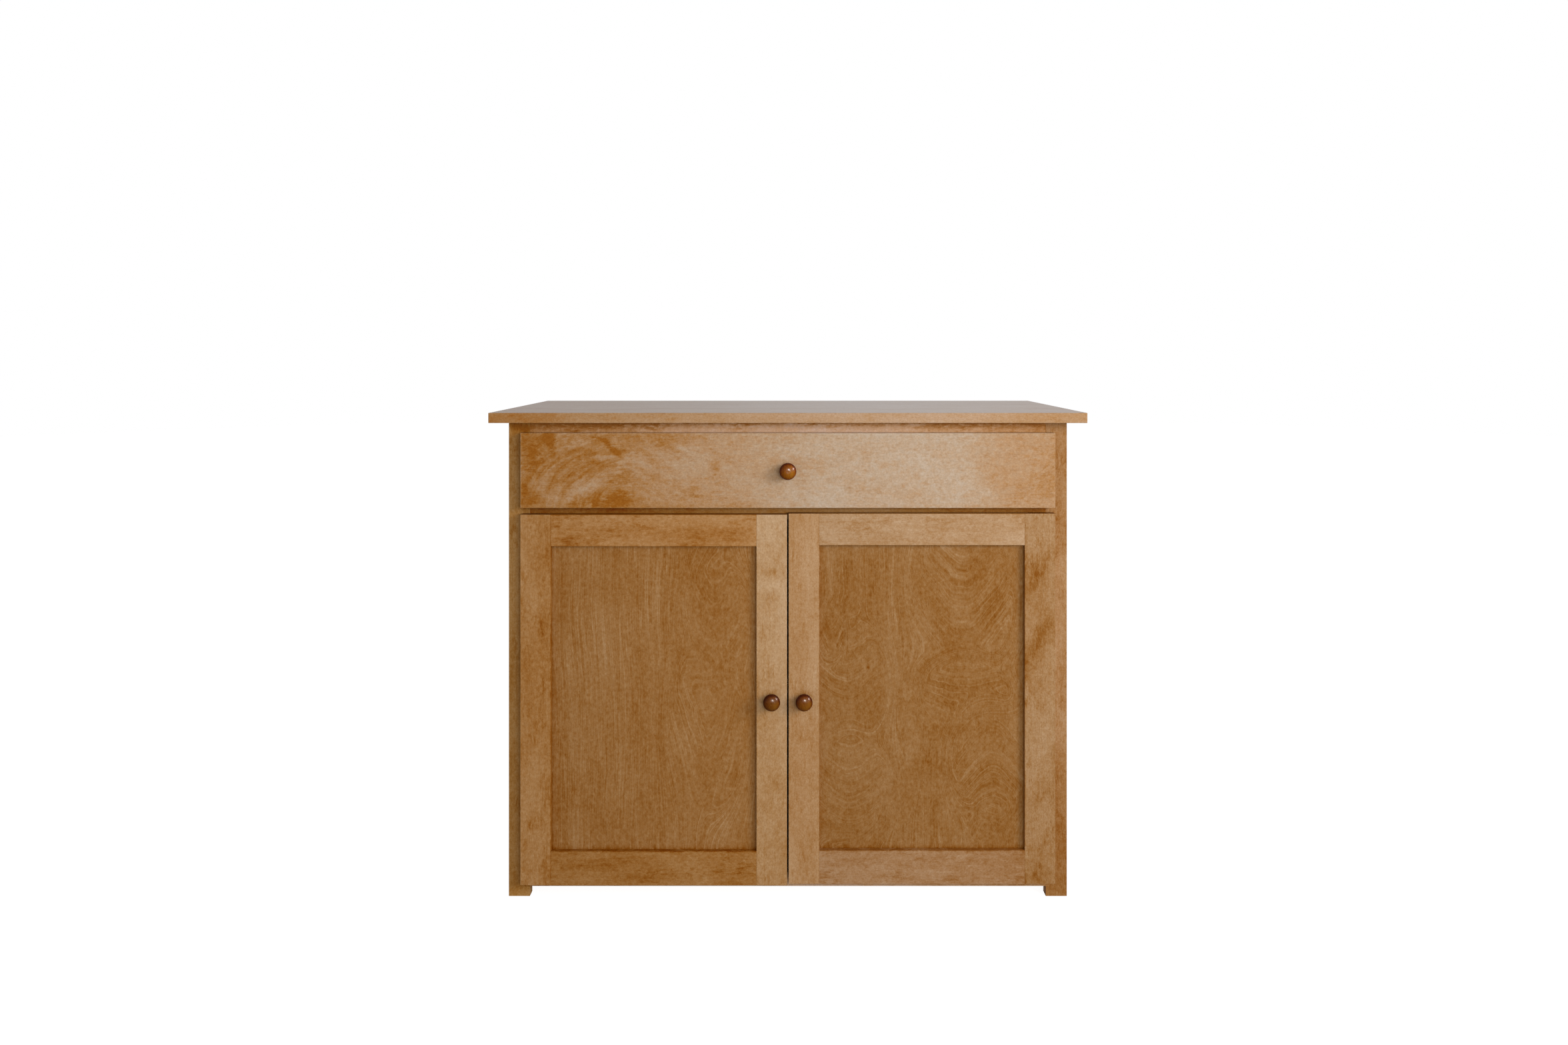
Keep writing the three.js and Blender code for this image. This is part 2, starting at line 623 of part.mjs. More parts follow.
// Door: two grooved stiles, two rails with tongues in the grooves, and a flat veneered panel
function buildDoor(root, side, mirror) {
  const lift = doorLift(side);
  const group = sideGroup(root, mirror);
  group.position.z = lift;
  const depths = [frontsFace, frontsBack];
  const heights = [doorBottom, doorTop];
  const grooveDepths = [panelFront - FIT_CLEARANCE, panelBack + FIT_CLEARANCE];
  const hingeStileInner = -frontsHalf + DOOR_STILE_WIDTH;
  const lockStileInner = -doorInner - DOOR_STILE_WIDTH;

  const hingeStile = cut(
    block([-frontsHalf, hingeStileInner], depths, heights),
    block([hingeStileInner - PANEL_GROOVE_DEPTH, hingeStileInner + OVERRUN], grooveDepths, past(heights)),
    ...hingeLevels().map(([, z]) => cupPocket(z)),
  );
  piece(group, `${side}_door_hinge_stile`, hingeStile, birch);

  const knobX = -doorInner - DOOR_STILE_WIDTH / 2;
  const knobZ = doorMiddle - lift;
  const lockStile = cut(
    block([lockStileInner, -doorInner], depths, heights),
    block([lockStileInner - OVERRUN, lockStileInner + PANEL_GROOVE_DEPTH], grooveDepths, past(heights)),
    screwBore(knobX, depths, knobZ),
  );
  piece(group, `${side}_door_lock_stile`, lockStile, birch);

  const between = [hingeStileInner, lockStileInner];
  const railHeights = {
    top: [doorTop, doorTop - DOOR_TOP_RAIL_HEIGHT],
    bottom: [doorBottom, doorBottom + DOOR_BOTTOM_RAIL_HEIGHT],
  };
  for (const [name, [outer, inner]] of Object.entries(railHeights)) {
    piece(group, `${side}_door_${name}_rail`, doorRail(between, outer, inner, grooveDepths), birchRail);
  }

  const edge = PANEL_GROOVE_DEPTH - FIT_CLEARANCE;
  const panel = block(
    [hingeStileInner - edge, lockStileInner + edge],
    [panelFront, panelBack],
    [railHeights.bottom[1] - edge, railHeights.top[1] + edge],
  );
  piece(group, `${side}_door_panel`, panel, birchVeneer);
  addKnob(group, `${side}_door`, knobX, knobZ, FRONT_THICKNESS);
  for (const [level, z] of hingeLevels()) {
    const cup = piece(group, `${side}_${level}_hinge_cup`, hingeCup(), nickelSteel);
    cup.position.z = z;
  }
}

function cupPocket(z) {
  const depths = [frontsBack - cupOuterDepth - FIT_CLEARANCE, frontsBack + OVERRUN];
  return barAlongY(CUP_DIAMETER, cupX, depths, z, CUP_FACETS);
}

// A rail with a tongue at each end, grooved along its inner edge for the panel
function doorRail(between, outer, inner, grooveDepths) {
  const towardsOuter = Math.sign(outer - inner);
  const tongue = PANEL_GROOVE_DEPTH - FIT_CLEARANCE;
  const tongueAcross = [between[0] - tongue, between[1] + tongue];
  const rail = block(between, [frontsFace, frontsBack], [outer, inner]);
  const tongues = block(tongueAcross, [panelFront, panelBack], [outer, inner]);
  const groove = block(past(tongueAcross), grooveDepths, [
    inner - towardsOuter * OVERRUN,
    inner + towardsOuter * PANEL_GROOVE_DEPTH,
  ]);
  return cut(join(rail, tongues), groove);
}

const cabinet = new THREE.Group();
buildCase(cabinet);
buildDrawer(cabinet);
buildSlideMiddles(cabinet);
for (const [side, mirror] of SIDES) {
  buildDoor(cabinet, side, mirror);
}

export default cabinet;
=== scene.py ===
import math

import bmesh
import bpy
from mathutils import Matrix, Vector


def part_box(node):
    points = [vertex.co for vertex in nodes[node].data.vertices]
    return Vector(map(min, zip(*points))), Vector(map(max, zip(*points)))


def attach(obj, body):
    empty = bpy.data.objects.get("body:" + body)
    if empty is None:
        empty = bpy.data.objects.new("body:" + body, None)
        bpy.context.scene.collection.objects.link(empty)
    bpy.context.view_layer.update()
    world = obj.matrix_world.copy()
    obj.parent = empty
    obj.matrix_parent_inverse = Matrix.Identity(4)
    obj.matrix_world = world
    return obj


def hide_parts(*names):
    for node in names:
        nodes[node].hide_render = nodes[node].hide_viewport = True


# Looks of a honey-stained birch cabinet under satin lacquer: one wide drawer above a pair of doors.
# Metres, +Z up, the front faces -Y. Wood figure is procedural, in the frame's own coordinates.

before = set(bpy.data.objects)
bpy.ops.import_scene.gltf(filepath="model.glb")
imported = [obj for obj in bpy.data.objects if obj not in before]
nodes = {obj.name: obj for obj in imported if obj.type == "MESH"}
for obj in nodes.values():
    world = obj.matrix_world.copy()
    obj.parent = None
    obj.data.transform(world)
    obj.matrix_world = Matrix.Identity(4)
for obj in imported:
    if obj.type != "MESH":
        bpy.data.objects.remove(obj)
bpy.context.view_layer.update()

MM = 0.001
SIDES = (("left", -1), ("right", 1))
LEVELS = ("upper", "lower")

# Camera of the photograph, in metres, with its own pixels, by which things are placed
PHOTO_WIDTH = 2352
PHOTO_HEIGHT = 1568
PRINCIPAL_X = 1181.75
HORIZON_Y = 527
LENS_MM = 24
SENSOR_MM = 36
CAMERA_HEIGHT = 1.0295
CAMERA_TO_FRAME = 1.9746

frame_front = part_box("left_frame_stile")[0].y
camera_y = frame_front - CAMERA_TO_FRAME
fronts_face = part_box("drawer_front")[0].y
fronts_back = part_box("drawer_front")[1].y


def with_settings(thing, **settings):
    """The thing itself, with its attributes set."""
    for name, value in settings.items():
        setattr(thing, name, value)
    return thing


def added(name, data, **settings):
    """An object in the scene that holds that data."""
    made = with_settings(bpy.data.objects.new(name, data), **settings)
    bpy.context.scene.collection.objects.link(made)
    return made


def add_camera():
    data = with_settings(
        bpy.data.cameras.new("camera"),
        lens=LENS_MM,
        sensor_width=SENSOR_MM,
        shift_x=(PHOTO_WIDTH / 2 - PRINCIPAL_X) / PHOTO_WIDTH,
        shift_y=(HORIZON_Y - PHOTO_HEIGHT / 2) / PHOTO_WIDTH,
    )
    location = (0, camera_y, CAMERA_HEIGHT)
    bpy.context.scene.camera = added("camera", data, location=location, rotation_euler=(math.pi / 2, 0, 0))


def pixel_size(depth=fronts_face):
    """Metres that one pixel of the photograph covers on a plane at that depth."""
    return (depth - camera_y) * SENSOR_MM / LENS_MM / PHOTO_WIDTH


def place(pixel, depth=fronts_face):
    """The x and z of a pixel of the photograph on a plane at that depth."""
    size = pixel_size(depth)
    return (pixel[0] - PRINCIPAL_X) * size, CAMERA_HEIGHT - (pixel[1] - HORIZON_Y) * size


# Light: a key from the right, a low window-like one in front, one behind for the back, and two small lamps
# that light the knobs alone, for their highlights. The surround is warm in front and below, and pale behind
DAYLIGHT = (0.96, 0.98, 1.0)
SOFTBOXES = {
    "key": {"location": (2.6, -2.2, 1.7), "size": (1.3, 1.3), "power": 64, "color": (0.97, 0.97, 1.0),
            "glossy": False},
    "window": {"location": (0.62, -2.4, 0.98), "size": (1.3, 0.7), "power": 18.5, "color": DAYLIGHT,
               "glossy": False},
    "behind": {"location": (-1.6, 3.0, 1.5), "size": (1.2, 1.2), "power": 22, "color": DAYLIGHT,
               "glossy": False},
    "lamp": {"location": (0.4, -2.4, 1.42), "size": (0.42, 0.42), "power": 110, "color": (1.0, 0.95, 0.9),
             "diffuse": False, "for_knobs": True},
    "glint": {"location": (2.3, -0.68, 1.82), "size": (0.25, 0.25), "power": 90, "color": (1.0, 0.86, 0.8),
              "diffuse": False, "for_knobs": True},
}
LIGHT_TARGET = (0, -0.2, 0.55)
KNOBS = bpy.data.collections.new("knobs")

SURROUND_ABOVE = (0.19, 0.187, 0.183)
SURROUND_LEVEL = (0.53, 0.49, 0.415)
SURROUND_BELOW = (0.245, 0.217, 0.172)
SURROUND_BACK = ((0.548, 0.586, 0.622), (0.69, 0.73, 0.775))
# Where the level tone begins, is full and ends, from 0 for straight down to 1 for straight up
LEVEL_BAND = (0.46, 0.5, 0.62)
# The shares of a direction backwards, upwards and sideways between which the tones of the back come in
BACK_BEGINS = (0.1, 0.5)
BACK_RISES = (-0.08, 0.0)
BACK_CROSSES = (-0.2, 0.2)

STAGE_RADIUS = 14
STAGE_FACETS = 64
STAGE_SUBDIVISIONS = 4
FLOOR_GLOW = 0.93
FLOOR_ALBEDO = 0.25
BACKDROP_GLOW = 1.0


def add_softbox(name, *, location, size, power, color, diffuse=True, glossy=True, for_knobs=False):
    data = with_settings(bpy.data.lights.new(name, "AREA"), shape="RECTANGLE", energy=power, color=color)
    data.size, data.size_y = size
    light = added(name, data, visible_diffuse=diffuse, visible_glossy=glossy, location=location)
    if for_knobs:
        light.light_linking.receiver_collection = KNOBS
    light.rotation_euler = (Vector(LIGHT_TARGET) - Vector(location)).to_track_quat("-Z", "Y").to_euler()


def add_surround():
    world = bpy.data.worlds.new("surround")
    bpy.context.scene.world = world
    world.use_nodes = True
    g = Graph(world)
    x, y, z = g.split(g.coordinates("Generated"))
    begins, full, ends = LEVEL_BAND
    stops = [(0, SURROUND_BELOW), (1, SURROUND_ABOVE), (begins, SURROUND_BELOW), (full, SURROUND_LEVEL),
             (ends, SURROUND_LEVEL)]
    color = g.ramp(g.fade(z, -1, 1, interpolation="LINEAR"), stops)
    behind = g.product(g.fade(y, *BACK_BEGINS), g.fade(z, *BACK_RISES))
    back = g.mix(g.fade(x, *BACK_CROSSES), *SURROUND_BACK)
    color = g.mix(behind, color, back)
    g.links.new(color, g.nodes["Background"].inputs["Color"])


def only_for_camera(stage_object):
    """A white backdrop that the camera sees, while the cabinet is lit by the lamps and the surround."""
    for ray in ("diffuse", "glossy", "transmission", "shadow"):
        setattr(stage_object, f"visible_{ray}", False)


def plain_object(name, mesh, material):
    mesh.materials.append(material)
    return added(name, mesh)


def mesh_from(shape, name):
    """A mesh of that name from a bmesh, which is then let go."""
    mesh = bpy.data.meshes.new(name)
    shape.to_mesh(mesh)
    shape.free()
    return mesh


def add_stage():
    floor = bmesh.new()
    bmesh.ops.create_circle(floor, cap_ends=True, radius=STAGE_RADIUS, segments=STAGE_FACETS)
    pale = glowing("pale_floor", FLOOR_GLOW, FLOOR_ALBEDO)
    only_for_camera(plain_object("floor", mesh_from(floor, "floor"), pale))

    backdrop = bmesh.new()
    bmesh.ops.create_icosphere(backdrop, subdivisions=STAGE_SUBDIVISIONS, radius=STAGE_RADIUS)
    white = glowing("white_backdrop", BACKDROP_GLOW, 0)
    only_for_camera(plain_object("backdrop", mesh_from(backdrop, "backdrop"), white))


def glowing(name, strength, albedo):
    return new_graph(name).finish(
        Base_Color=(albedo, albedo, albedo, 1),
        Roughness=1,
        Specular_IOR_Level=0,
        Emission_Color=(1, 1, 1, 1),
        Emission_Strength=strength,
    )


SCREEN_GAMMA = 2.2
LINE_PITCH = 7.5 * MM

# The layers of noise: weight, cells per metre (for wood across, through and along the board), detail,
# roughness and distortion
LAYERS = {
    "warp": (1, (2.6, 2.6, 1.0), 2, 0.5, 0),
    "waver": (1, (12, 12, 4), 2, 0.5, 0),
    "whorls": (1, (6.5, 6.5, 3.2), 1, 0.5, 0),
    "arch_ripple": (4 * MM, (28, 28, 14), 2, 0.5, 0),
    "flecks": (1, (150, 150, 48), 3, 0.65, 0.6),
    "pores": (1, (620, 620, 95), 2, 0.6, 0),
    "fibres": (1, (240, 60, 16), 3, 0.6, 0),
    "threads": (1, (700, 200, 90), 2, 0.5, 0),
    "bands": (1, (34, 8, 1.6), 3, 0.5, 0),
    "clouds": (1, (15, 15, 7), 3, 0.55, 0),
    "thirst": (1, (26, 26, 14), 3, 0.6, 0),
    "specks": (0.26, (150, 150, 125), 2, 0.6, 0),
    "grain": (1, (330, 330, 280), 2, 0.75, 0),
    "line_wobble": (1.4 * MM, (55, 55, 40), 2, 0.5, 0),
    "lines": (1, (1 / LINE_PITCH, 20, 2.4), 1, 0.5, 0),
    "line_strength": (1, (13, 13, 9), 2, 0.5, 0),
    "curls": (1, (80, 20, 13), 3, 0.6, 0.5),
    "swirls": (1, (72, 20, 19), 2, 0.5, 1),
    "edge_wear": (0.5, (30, 30, 30), 2, 0.5, 0),
    "end_grain": (0.8, (300, 300, 30), 3, 0.65, 0),
    "end_rings": (0.4, (60, 420, 10), 2, 0.5, 0),
    "lacquer": (0.05, (120, 120, 30), 2, 0.5, 0),
    "drawn_metal": (1, (4200, 4200, 90), 2, 0.5, 0),
    "plating": (1, (160, 160, 110), 3, 0.5, 0),
    "spangle": (1, (900, 900, 900), 1, 0.5, 0),
    "knob_grain": (1, (500, 120, 160), 3, 0.5, 0),
    "knob_rings": (1, (520, 1, 14), 2, 0.5, 0),
    "rubber_grain": (1, (900, 900, 900), 2, 0.5, 0),
    "rubber_cloud": (1, (260, 260, 260), 2, 0.5, 0),
}


class Graph:
    """A node tree, with a short method for each kind of node that the finishes use."""

    def __init__(self, owner):
        self.nodes = owner.node_tree.nodes
        self.links = owner.node_tree.links
        self.owner = owner

    def node(self, kind, **settings):
        return with_settings(self.nodes.new("ShaderNode" + kind), **settings)

    def put(self, socket, value):
        if isinstance(value, bpy.types.NodeSocket):
            self.links.new(value, socket)
        else:
            socket.default_value = value

    def finish(self, **inputs):
        """Sets the shader's own sockets by name, with underscores for spaces."""
        shader = self.nodes["Principled BSDF"]
        for name, value in inputs.items():
            self.put(shader.inputs[name.replace("_", " ")], value)
        return self.owner

    def math(self, operation, *values):
        made = self.node("Math", operation=operation)
        for socket, value in zip(made.inputs, values):
            self.put(socket, value)
        return made.outputs[0]

    def total(self, first, *others):
        for value in others:
            first = self.math("ADD", first, value)
        return first

    def product(self, first, *others):
        for value in others:
            first = self.math("MULTIPLY", first, value)
        return first

    def vector_math(self, operation, vector, other):
        made = self.node("VectorMath", operation=operation)
        self.put(made.inputs[0], vector)
        self.put(made.inputs[1], other)
        return made.outputs[0]

    def split(self, vector):
        made = self.node("SeparateXYZ")
        self.put(made.inputs[0], vector)
        return list(made.outputs)

    def vector(self, *values):
        made = self.node("CombineXYZ")
        for socket, value in zip(made.inputs, values):
            self.put(socket, value)
        return made.outputs[0]

    def coordinates(self, kind="Object"):
        return self.node("TexCoord").outputs[kind]

    def layer(self, name, vector, weight=1.0):
        """A layer of noise about zero, that swings by about half its weight."""
        own_weight, cells, detail, roughness, distortion = LAYERS[name]
        made = self.node("TexNoise")
        self.put(made.inputs["Vector"], self.vector_math("MULTIPLY", vector, cells))
        settings = {"Scale": 1, "Detail": detail, "Roughness": roughness, "Distortion": distortion}
        for socket, value in settings.items():
            made.inputs[socket].default_value = value
        return self.product(self.math("SUBTRACT", made.outputs["Fac"], 0.5), 2 * own_weight * weight)

    def fade(self, value, low, high, start=0.0, end=1.0, interpolation="SMOOTHSTEP"):
        """Eases from start to end while the value goes from low to high."""
        made = self.node("MapRange", interpolation_type=interpolation)
        self.put(made.inputs["Value"], value)
        for name, number in (("From Min", low), ("From Max", high), ("To Min", start), ("To Max", end)):
            made.inputs[name].default_value = number
        return made.outputs["Result"]

    def ramp(self, value, stops):
        """Colours by value; the first and the last stop of the ramp come first in the list."""
        made = self.node("ValToRGB")
        self.put(made.inputs["Fac"], value)
        elements = made.color_ramp.elements
        for index, (position, color) in enumerate(stops):
            stop = elements[index] if index < 2 else elements.new(position)
            stop.position = position
            stop.color = (*color, 1)
        return made.outputs["Color"]

    def mix(self, factor, first, second):
        """The first colour at a factor of 0, and the second one at 1."""
        made = self.node("Mix", data_type="RGBA")
        self.put(made.inputs["Factor"], factor)
        for socket, value in zip(self.colors(made.inputs), (first, second)):
            self.put(socket, value if isinstance(value, bpy.types.NodeSocket) else (*value, 1))
        return self.colors(made.outputs)[0]

    def colors(self, sockets):
        return [socket for socket in sockets if socket.type == "RGBA"]

    def screen(self, color):
        """The light of a colour that is given as a screen shows it."""
        made = self.node("Gamma")
        made.inputs["Gamma"].default_value = SCREEN_GAMMA
        self.put(made.inputs["Color"], color)
        return made.outputs["Color"]

    def bump(self, height, distance):
        made = self.node("Bump")
        made.inputs["Distance"].default_value = distance
        self.put(made.inputs["Height"], height)
        return made.outputs["Normal"]

    def spot(self, across, along, centre, radii, slant=0.0):
        """A soft spot: one at its centre, falling off over its radii, leaning by its slant."""
        rise = self.math("SUBTRACT", along, centre[1])
        offset = self.math("SUBTRACT", across, centre[0])
        if slant:
            offset = self.math("SUBTRACT", offset, self.product(rise, slant))
        u = self.math("DIVIDE", offset, radii[0])
        v = self.math("DIVIDE", rise, radii[1])
        squares = self.total(self.product(u, u), self.product(v, v))
        return self.math("EXPONENT", self.product(squares, -1))


def new_graph(name):
    material = bpy.data.materials.new(name)
    material.use_nodes = True
    return Graph(material)


def shown(red, green, blue):
    """A colour as a screen shows it, from 0 to 1, which Graph.screen turns into light."""
    return tuple(max(value, 0) / 255 for value in (red, green, blue))


# How far a stain's deep and pale tones are from its middle one, unless it says otherwise
DEEPER = (31, 44, 58)
PALER = (26, 37, 48)


def stain(red, green, blue, spread=1.0, deeper=DEEPER, paler=PALER):
    """A stain's deep, middle and pale tones, from its middle one, as a screen shows them."""
    middle = (red, green, blue)
    deep = [value - spread * step for value, step in zip(middle, deeper)]
    pale = [value + spread * step for value, step in zip(middle, paler)]
    return shown(*deep), shown(*middle), shown(*pale)


# The order of the axes in each kind of board: across the grain, through the board, along the grain
UPRIGHT = "XYZ"
RAIL = "ZYX"
SLAB = "YZX"
SIDE = "YXZ"
RUNNER = "ZXY"


def along_board(order, pixel):
    """Where a pixel column, or a row for an upright board, lies along the grain."""
    return on_board(order, (pixel, pixel))[0][1]


def on_board(order, pixel, reach=(1, 1)):
    """A place in the photograph as centre and radii across and along a board that faces the front."""
    x, z = place(pixel)
    size = pixel_size()
    found = {"X": (x, reach[0] * size), "Y": (fronts_face, reach[1] * size), "Z": (z, reach[1] * size)}
    (across, wide), (along, high) = found[order[0]], found[order[2]]
    return (across, along), (wide, high)


def board_axes(g, order):
    """The coordinates across, through and along a board."""
    parts = dict(zip("XYZ", g.split(g.coordinates())))
    return [parts[axis] for axis in order]


def facing(g, order, place_in_order):
    """How squarely a face looks along one of the board's own axes, from 0 to 1."""
    return g.math("ABSOLUTE", g.split(g.coordinates("Normal"))["XYZ".index(order[place_in_order])])


# How a seed moves a board's figure across, through and along it
SEED_STEPS = (1, 0.37, 1.7)
# How a seed moves the joints of a glued-up board, and how each stave gets a number of its own from 0 to 1,
# which moves its figure across and along and changes its tone
STAVE_START = 0.31
STAVE_FACTORS = (12.9, 43.7)
STAVE_SHIFT = (3.1, 7.3)
STAVE_TONE = 0.16

# Between which levels of a layer its effect comes in, followed by its own range where that isn't 0 to 1
PITTED = (0.15, 0.45)
THIRSTY = (-0.15, 0.35)
FLECKED = (-0.25, 0.4)
TORN = (-0.35, 0.35, 0.55, 1.25)
RAGGED = (-0.5, 0.4, 0.4, 1.3)
ARCH_EDGE = (0.1, 0.5)
WAVE_EDGE = (0.1, 0.6)
LINED = (-0.3, 0.3)

# Shares of the figure's layers
MIDDLE = 0.5
WAVER_SHARE = 0.12
FIBRE_SHARE = 0.9
THREAD_SHARE = 0.8
PITS = 0.05
GRAIN_TINT = (0.92, 1, 1.05)
PALE_LINE = 0.08
DARK_LINE = 0.1
DARK_LINE_OFFSET = 0.2
DARK_LINE_SHARE = 0.6
WEAK_LINE_SHARE = 0.3
SWIRL_TURN = 0.12
SWIRL_FLATTENING = 2


class Board:
    """The figure of one board: layers that each move its tone between deep and pale."""

    def __init__(self, g, order, seed, *, warp=0.03, whorls=0.0, cathedrals=(), staves=0.0):
        self.g = g
        self.order = order
        self.across, self.through, self.along = board_axes(g, order)
        self.offset = tuple(seed * step for step in SEED_STEPS)
        self.wood = self.moved(self.across)
        self.stave = None
        if staves:
            inner, outer = STAVE_FACTORS
            index = g.math("FLOOR", g.math("DIVIDE", g.total(self.across, STAVE_START * seed), staves))
            self.stave = g.math("FRACT", g.product(g.math("SINE", g.product(index, inner)), outer))
            across, along = (g.product(self.stave, step) for step in STAVE_SHIFT)
            self.wood = g.vector_math("ADD", self.wood, g.vector(across, 0, along))
        field = g.total(self.across, g.layer("warp", self.wood, warp),
                        g.layer("waver", self.wood, WAVER_SHARE * warp))
        if whorls:
            field = g.total(field, g.layer("whorls", self.wood, whorls))
        for arches in cathedrals:
            field = self.arched(field, *arches)
        self.field = field
        self.figured = self.moved(field)
        self.flecks = g.layer("flecks", self.wood)
        self.pores = g.layer("pores", self.wood)
        self.fibres = g.layer("fibres", self.figured)
        self.threads = g.layer("threads", self.figured)

    def moved(self, across):
        """A place in the board, moved by its seed so that no two boards are alike."""
        g = self.g
        return g.vector_math("ADD", g.vector(across, self.through, self.along), self.offset)

    def arched(self, field, pixel, reach, steepness, rounding, rise):
        """The field that growth lines follow, bent into arches round a place in the photograph."""
        g = self.g
        centre, radii = on_board(self.order, pixel, reach)
        offset = g.math("SUBTRACT", self.across, centre[0])
        flank = g.math("SQRT", g.total(g.product(offset, offset), rounding * rounding))
        height = g.math("SUBTRACT", g.math("SUBTRACT", self.along, centre[1]), g.product(flank, steepness))
        level = g.total(centre[0], g.product(height, rise), g.layer("arch_ripple", self.wood))
        window = g.fade(g.spot(self.across, self.along, centre, radii), *ARCH_EDGE)
        return g.total(field, g.product(g.math("SUBTRACT", level, field), window))

    def shading(self, shades):
        """A slow change of tone along the board, from (pixel, change) pairs; on some boards it is partly a
        painted sheen.
        """
        g = self.g
        places = sorted((along_board(self.order, pixel), change) for pixel, change in shades)
        low, high = places[0][0], places[-1][0]
        stops = []
        for position, change in places:
            stops.append(((position - low) / (high - low), ((1 + change) / 2,) * 3))
        stops.insert(1, stops.pop())
        level = g.ramp(g.fade(self.along, low, high, interpolation="LINEAR"), stops)
        return g.total(g.product(level, 2), -1)

    def color(self, tones, *, grain=0.095, **layers):
        """The stain, with any painted shade and sheen, as a screen shows it, with a fine grain over it."""
        g = self.g
        pitted = g.product(g.fade(self.pores, *PITTED), -PITS)
        fine = g.total(pitted, g.layer("grain", self.wood, grain))
        base = g.ramp(self.value(**layers), spread_out(tones))
        return g.vector_math("ADD", base, g.vector(*(g.product(fine, share) for share in GRAIN_TINT)))

    def value(self, *, shades=(), lines=0.05, blotch=0.36, mottle=0.3, streaks=0.1, patches=(), curls=(),
              swirls=(), edges=()):
        """The tone, from 0 for deep to 1 for pale: the stain, with the painted shade and sheen that some
        shades, patches and edges add.
        """
        g = self.g
        thirsty = g.fade(g.layer("thirst", self.wood), *THIRSTY)
        value = g.total(
            MIDDLE,
            g.layer("bands", self.figured, streaks),
            g.layer("clouds", self.wood, blotch),
            g.product(thirsty, g.fade(self.flecks, *FLECKED), -mottle),
            g.layer("specks", self.wood),
            g.product(self.fibres, FIBRE_SHARE * streaks),
            g.product(self.threads, THREAD_SHARE * streaks),
        )
        if lines:
            value = g.total(value, self.growth_lines(lines))
        if shades:
            value = g.total(value, self.shading(shades))
        if self.stave:
            value = g.total(value, g.product(g.math("SUBTRACT", self.stave, MIDDLE), STAVE_TONE))
        placed = [self.patch(*settings) for settings in patches]
        placed += [self.curl(*settings) for settings in curls]
        placed += [self.swirl(*settings) for settings in swirls]
        placed += [self.edge(*settings) for settings in edges]
        return g.total(value, *placed)

    def growth_lines(self, weight):
        """Thin pale lines with darker ones beside them, which come and go."""
        g = self.g
        wobble = g.total(self.field, g.layer("line_wobble", self.wood))
        growth = g.layer("lines", self.moved(wobble))
        pale = g.fade(g.math("ABSOLUTE", growth), PALE_LINE, 0.0)
        dark = g.fade(g.math("ABSOLUTE", g.total(growth, DARK_LINE_OFFSET)), DARK_LINE, 0.0)
        strength = g.fade(g.layer("line_strength", self.wood), *LINED, WEAK_LINE_SHARE * weight, weight)
        return g.product(g.total(pale, g.product(dark, -DARK_LINE_SHARE)), strength)

    def patch(self, pixel, reach, depth, slant=0.0):
        """A patch of deeper tone with a flecked edge, or of paler tone where the depth is less than 0:
        mostly stain, with painted shade and painted light in a few places.
        """
        g = self.g
        centre, radii = on_board(self.order, pixel, reach)
        spot = g.spot(self.across, self.along, centre, radii, slant)
        return g.product(spot, g.fade(self.flecks, *TORN), -depth)

    def window(self, pixel, reach):
        """Where a curl or a swirl shows, round a place in the photograph."""
        centre, radii = on_board(self.order, pixel, reach)
        return self.g.fade(self.g.spot(self.across, self.along, centre, radii), *WAVE_EDGE)

    def curl(self, pixel, reach, angle, weight):
        """Waves that cross the grain at an angle in degrees."""
        g = self.g
        cosine, sine = math.cos(math.radians(angle)), math.sin(math.radians(angle))
        onward = g.total(g.product(self.along, cosine), g.product(self.across, sine))
        sideways = g.total(g.product(self.along, -sine), g.product(self.across, cosine))
        waves = g.layer("curls", g.vector(sideways, self.through, onward))
        return g.product(waves, self.window(pixel, reach), weight)

    def swirl(self, pivot, pixel, reach, weight):
        """Waves that bend round a pivot."""
        g = self.g
        pivot_across, pivot_along = on_board(self.order, pivot)[0]
        across = g.math("SUBTRACT", self.across, pivot_across)
        along = g.math("SUBTRACT", self.along, pivot_along)
        around = g.product(g.math("ARCTAN2", across, along), SWIRL_TURN)
        squares = g.total(g.product(across, across, SWIRL_FLATTENING), g.product(along, along))
        waves = g.layer("swirls", g.vector(g.math("SQRT", squares), self.through, around))
        return g.product(waves, self.window(pixel, reach), weight)

    def edge(self, axis, position, width, depth):
        """A ragged line of deeper tone at a place across the board, or along it where the axis is 1; used
        for gathered stain and painted shade, and, where the depth is less than 0, for a painted highlight.
        """
        g = self.g
        distance = g.math("ABSOLUTE", g.math("SUBTRACT", self.along if axis else self.across, position))
        line = g.math("EXPONENT", g.math("DIVIDE", distance, -width))
        ragged = g.fade(g.total(self.flecks, g.layer("edge_wear", self.wood)), *RAGGED)
        return g.product(line, ragged, -depth)

    def end_color(self):
        """End grain, as a screen shows it."""
        g = self.g
        value = g.total(MIDDLE, g.layer("end_grain", self.wood), g.layer("end_rings", self.wood))
        return g.ramp(value, spread_out(END_TONES))

    def relief(self):
        """The height of the wood's surface, with raised fibres and open pores."""
        g = self.g
        return g.total(
            g.product(self.fibres, FIBRE_HEIGHT),
            g.product(self.threads, THREAD_HEIGHT),
            g.product(g.fade(self.pores, *PITTED), -PORE_DEPTH),
        )


FIBRE_HEIGHT = 0.3
THREAD_HEIGHT = 0.4
PORE_DEPTH = 0.35


def spread_out(tones):
    deep, middle, pale = tones
    return [(0.0, deep), (1.0, pale), (0.5, middle)]


END_TONES = (shown(92, 50, 16), shown(126, 78, 34), shown(150, 104, 56))


# How squarely a face looks along the grain where it shows end grain, and through the board for its veneer
END_ON = (0.75, 0.9)
FACE_ON = (0.6, 0.8)
LACQUER_IOR = 1.45


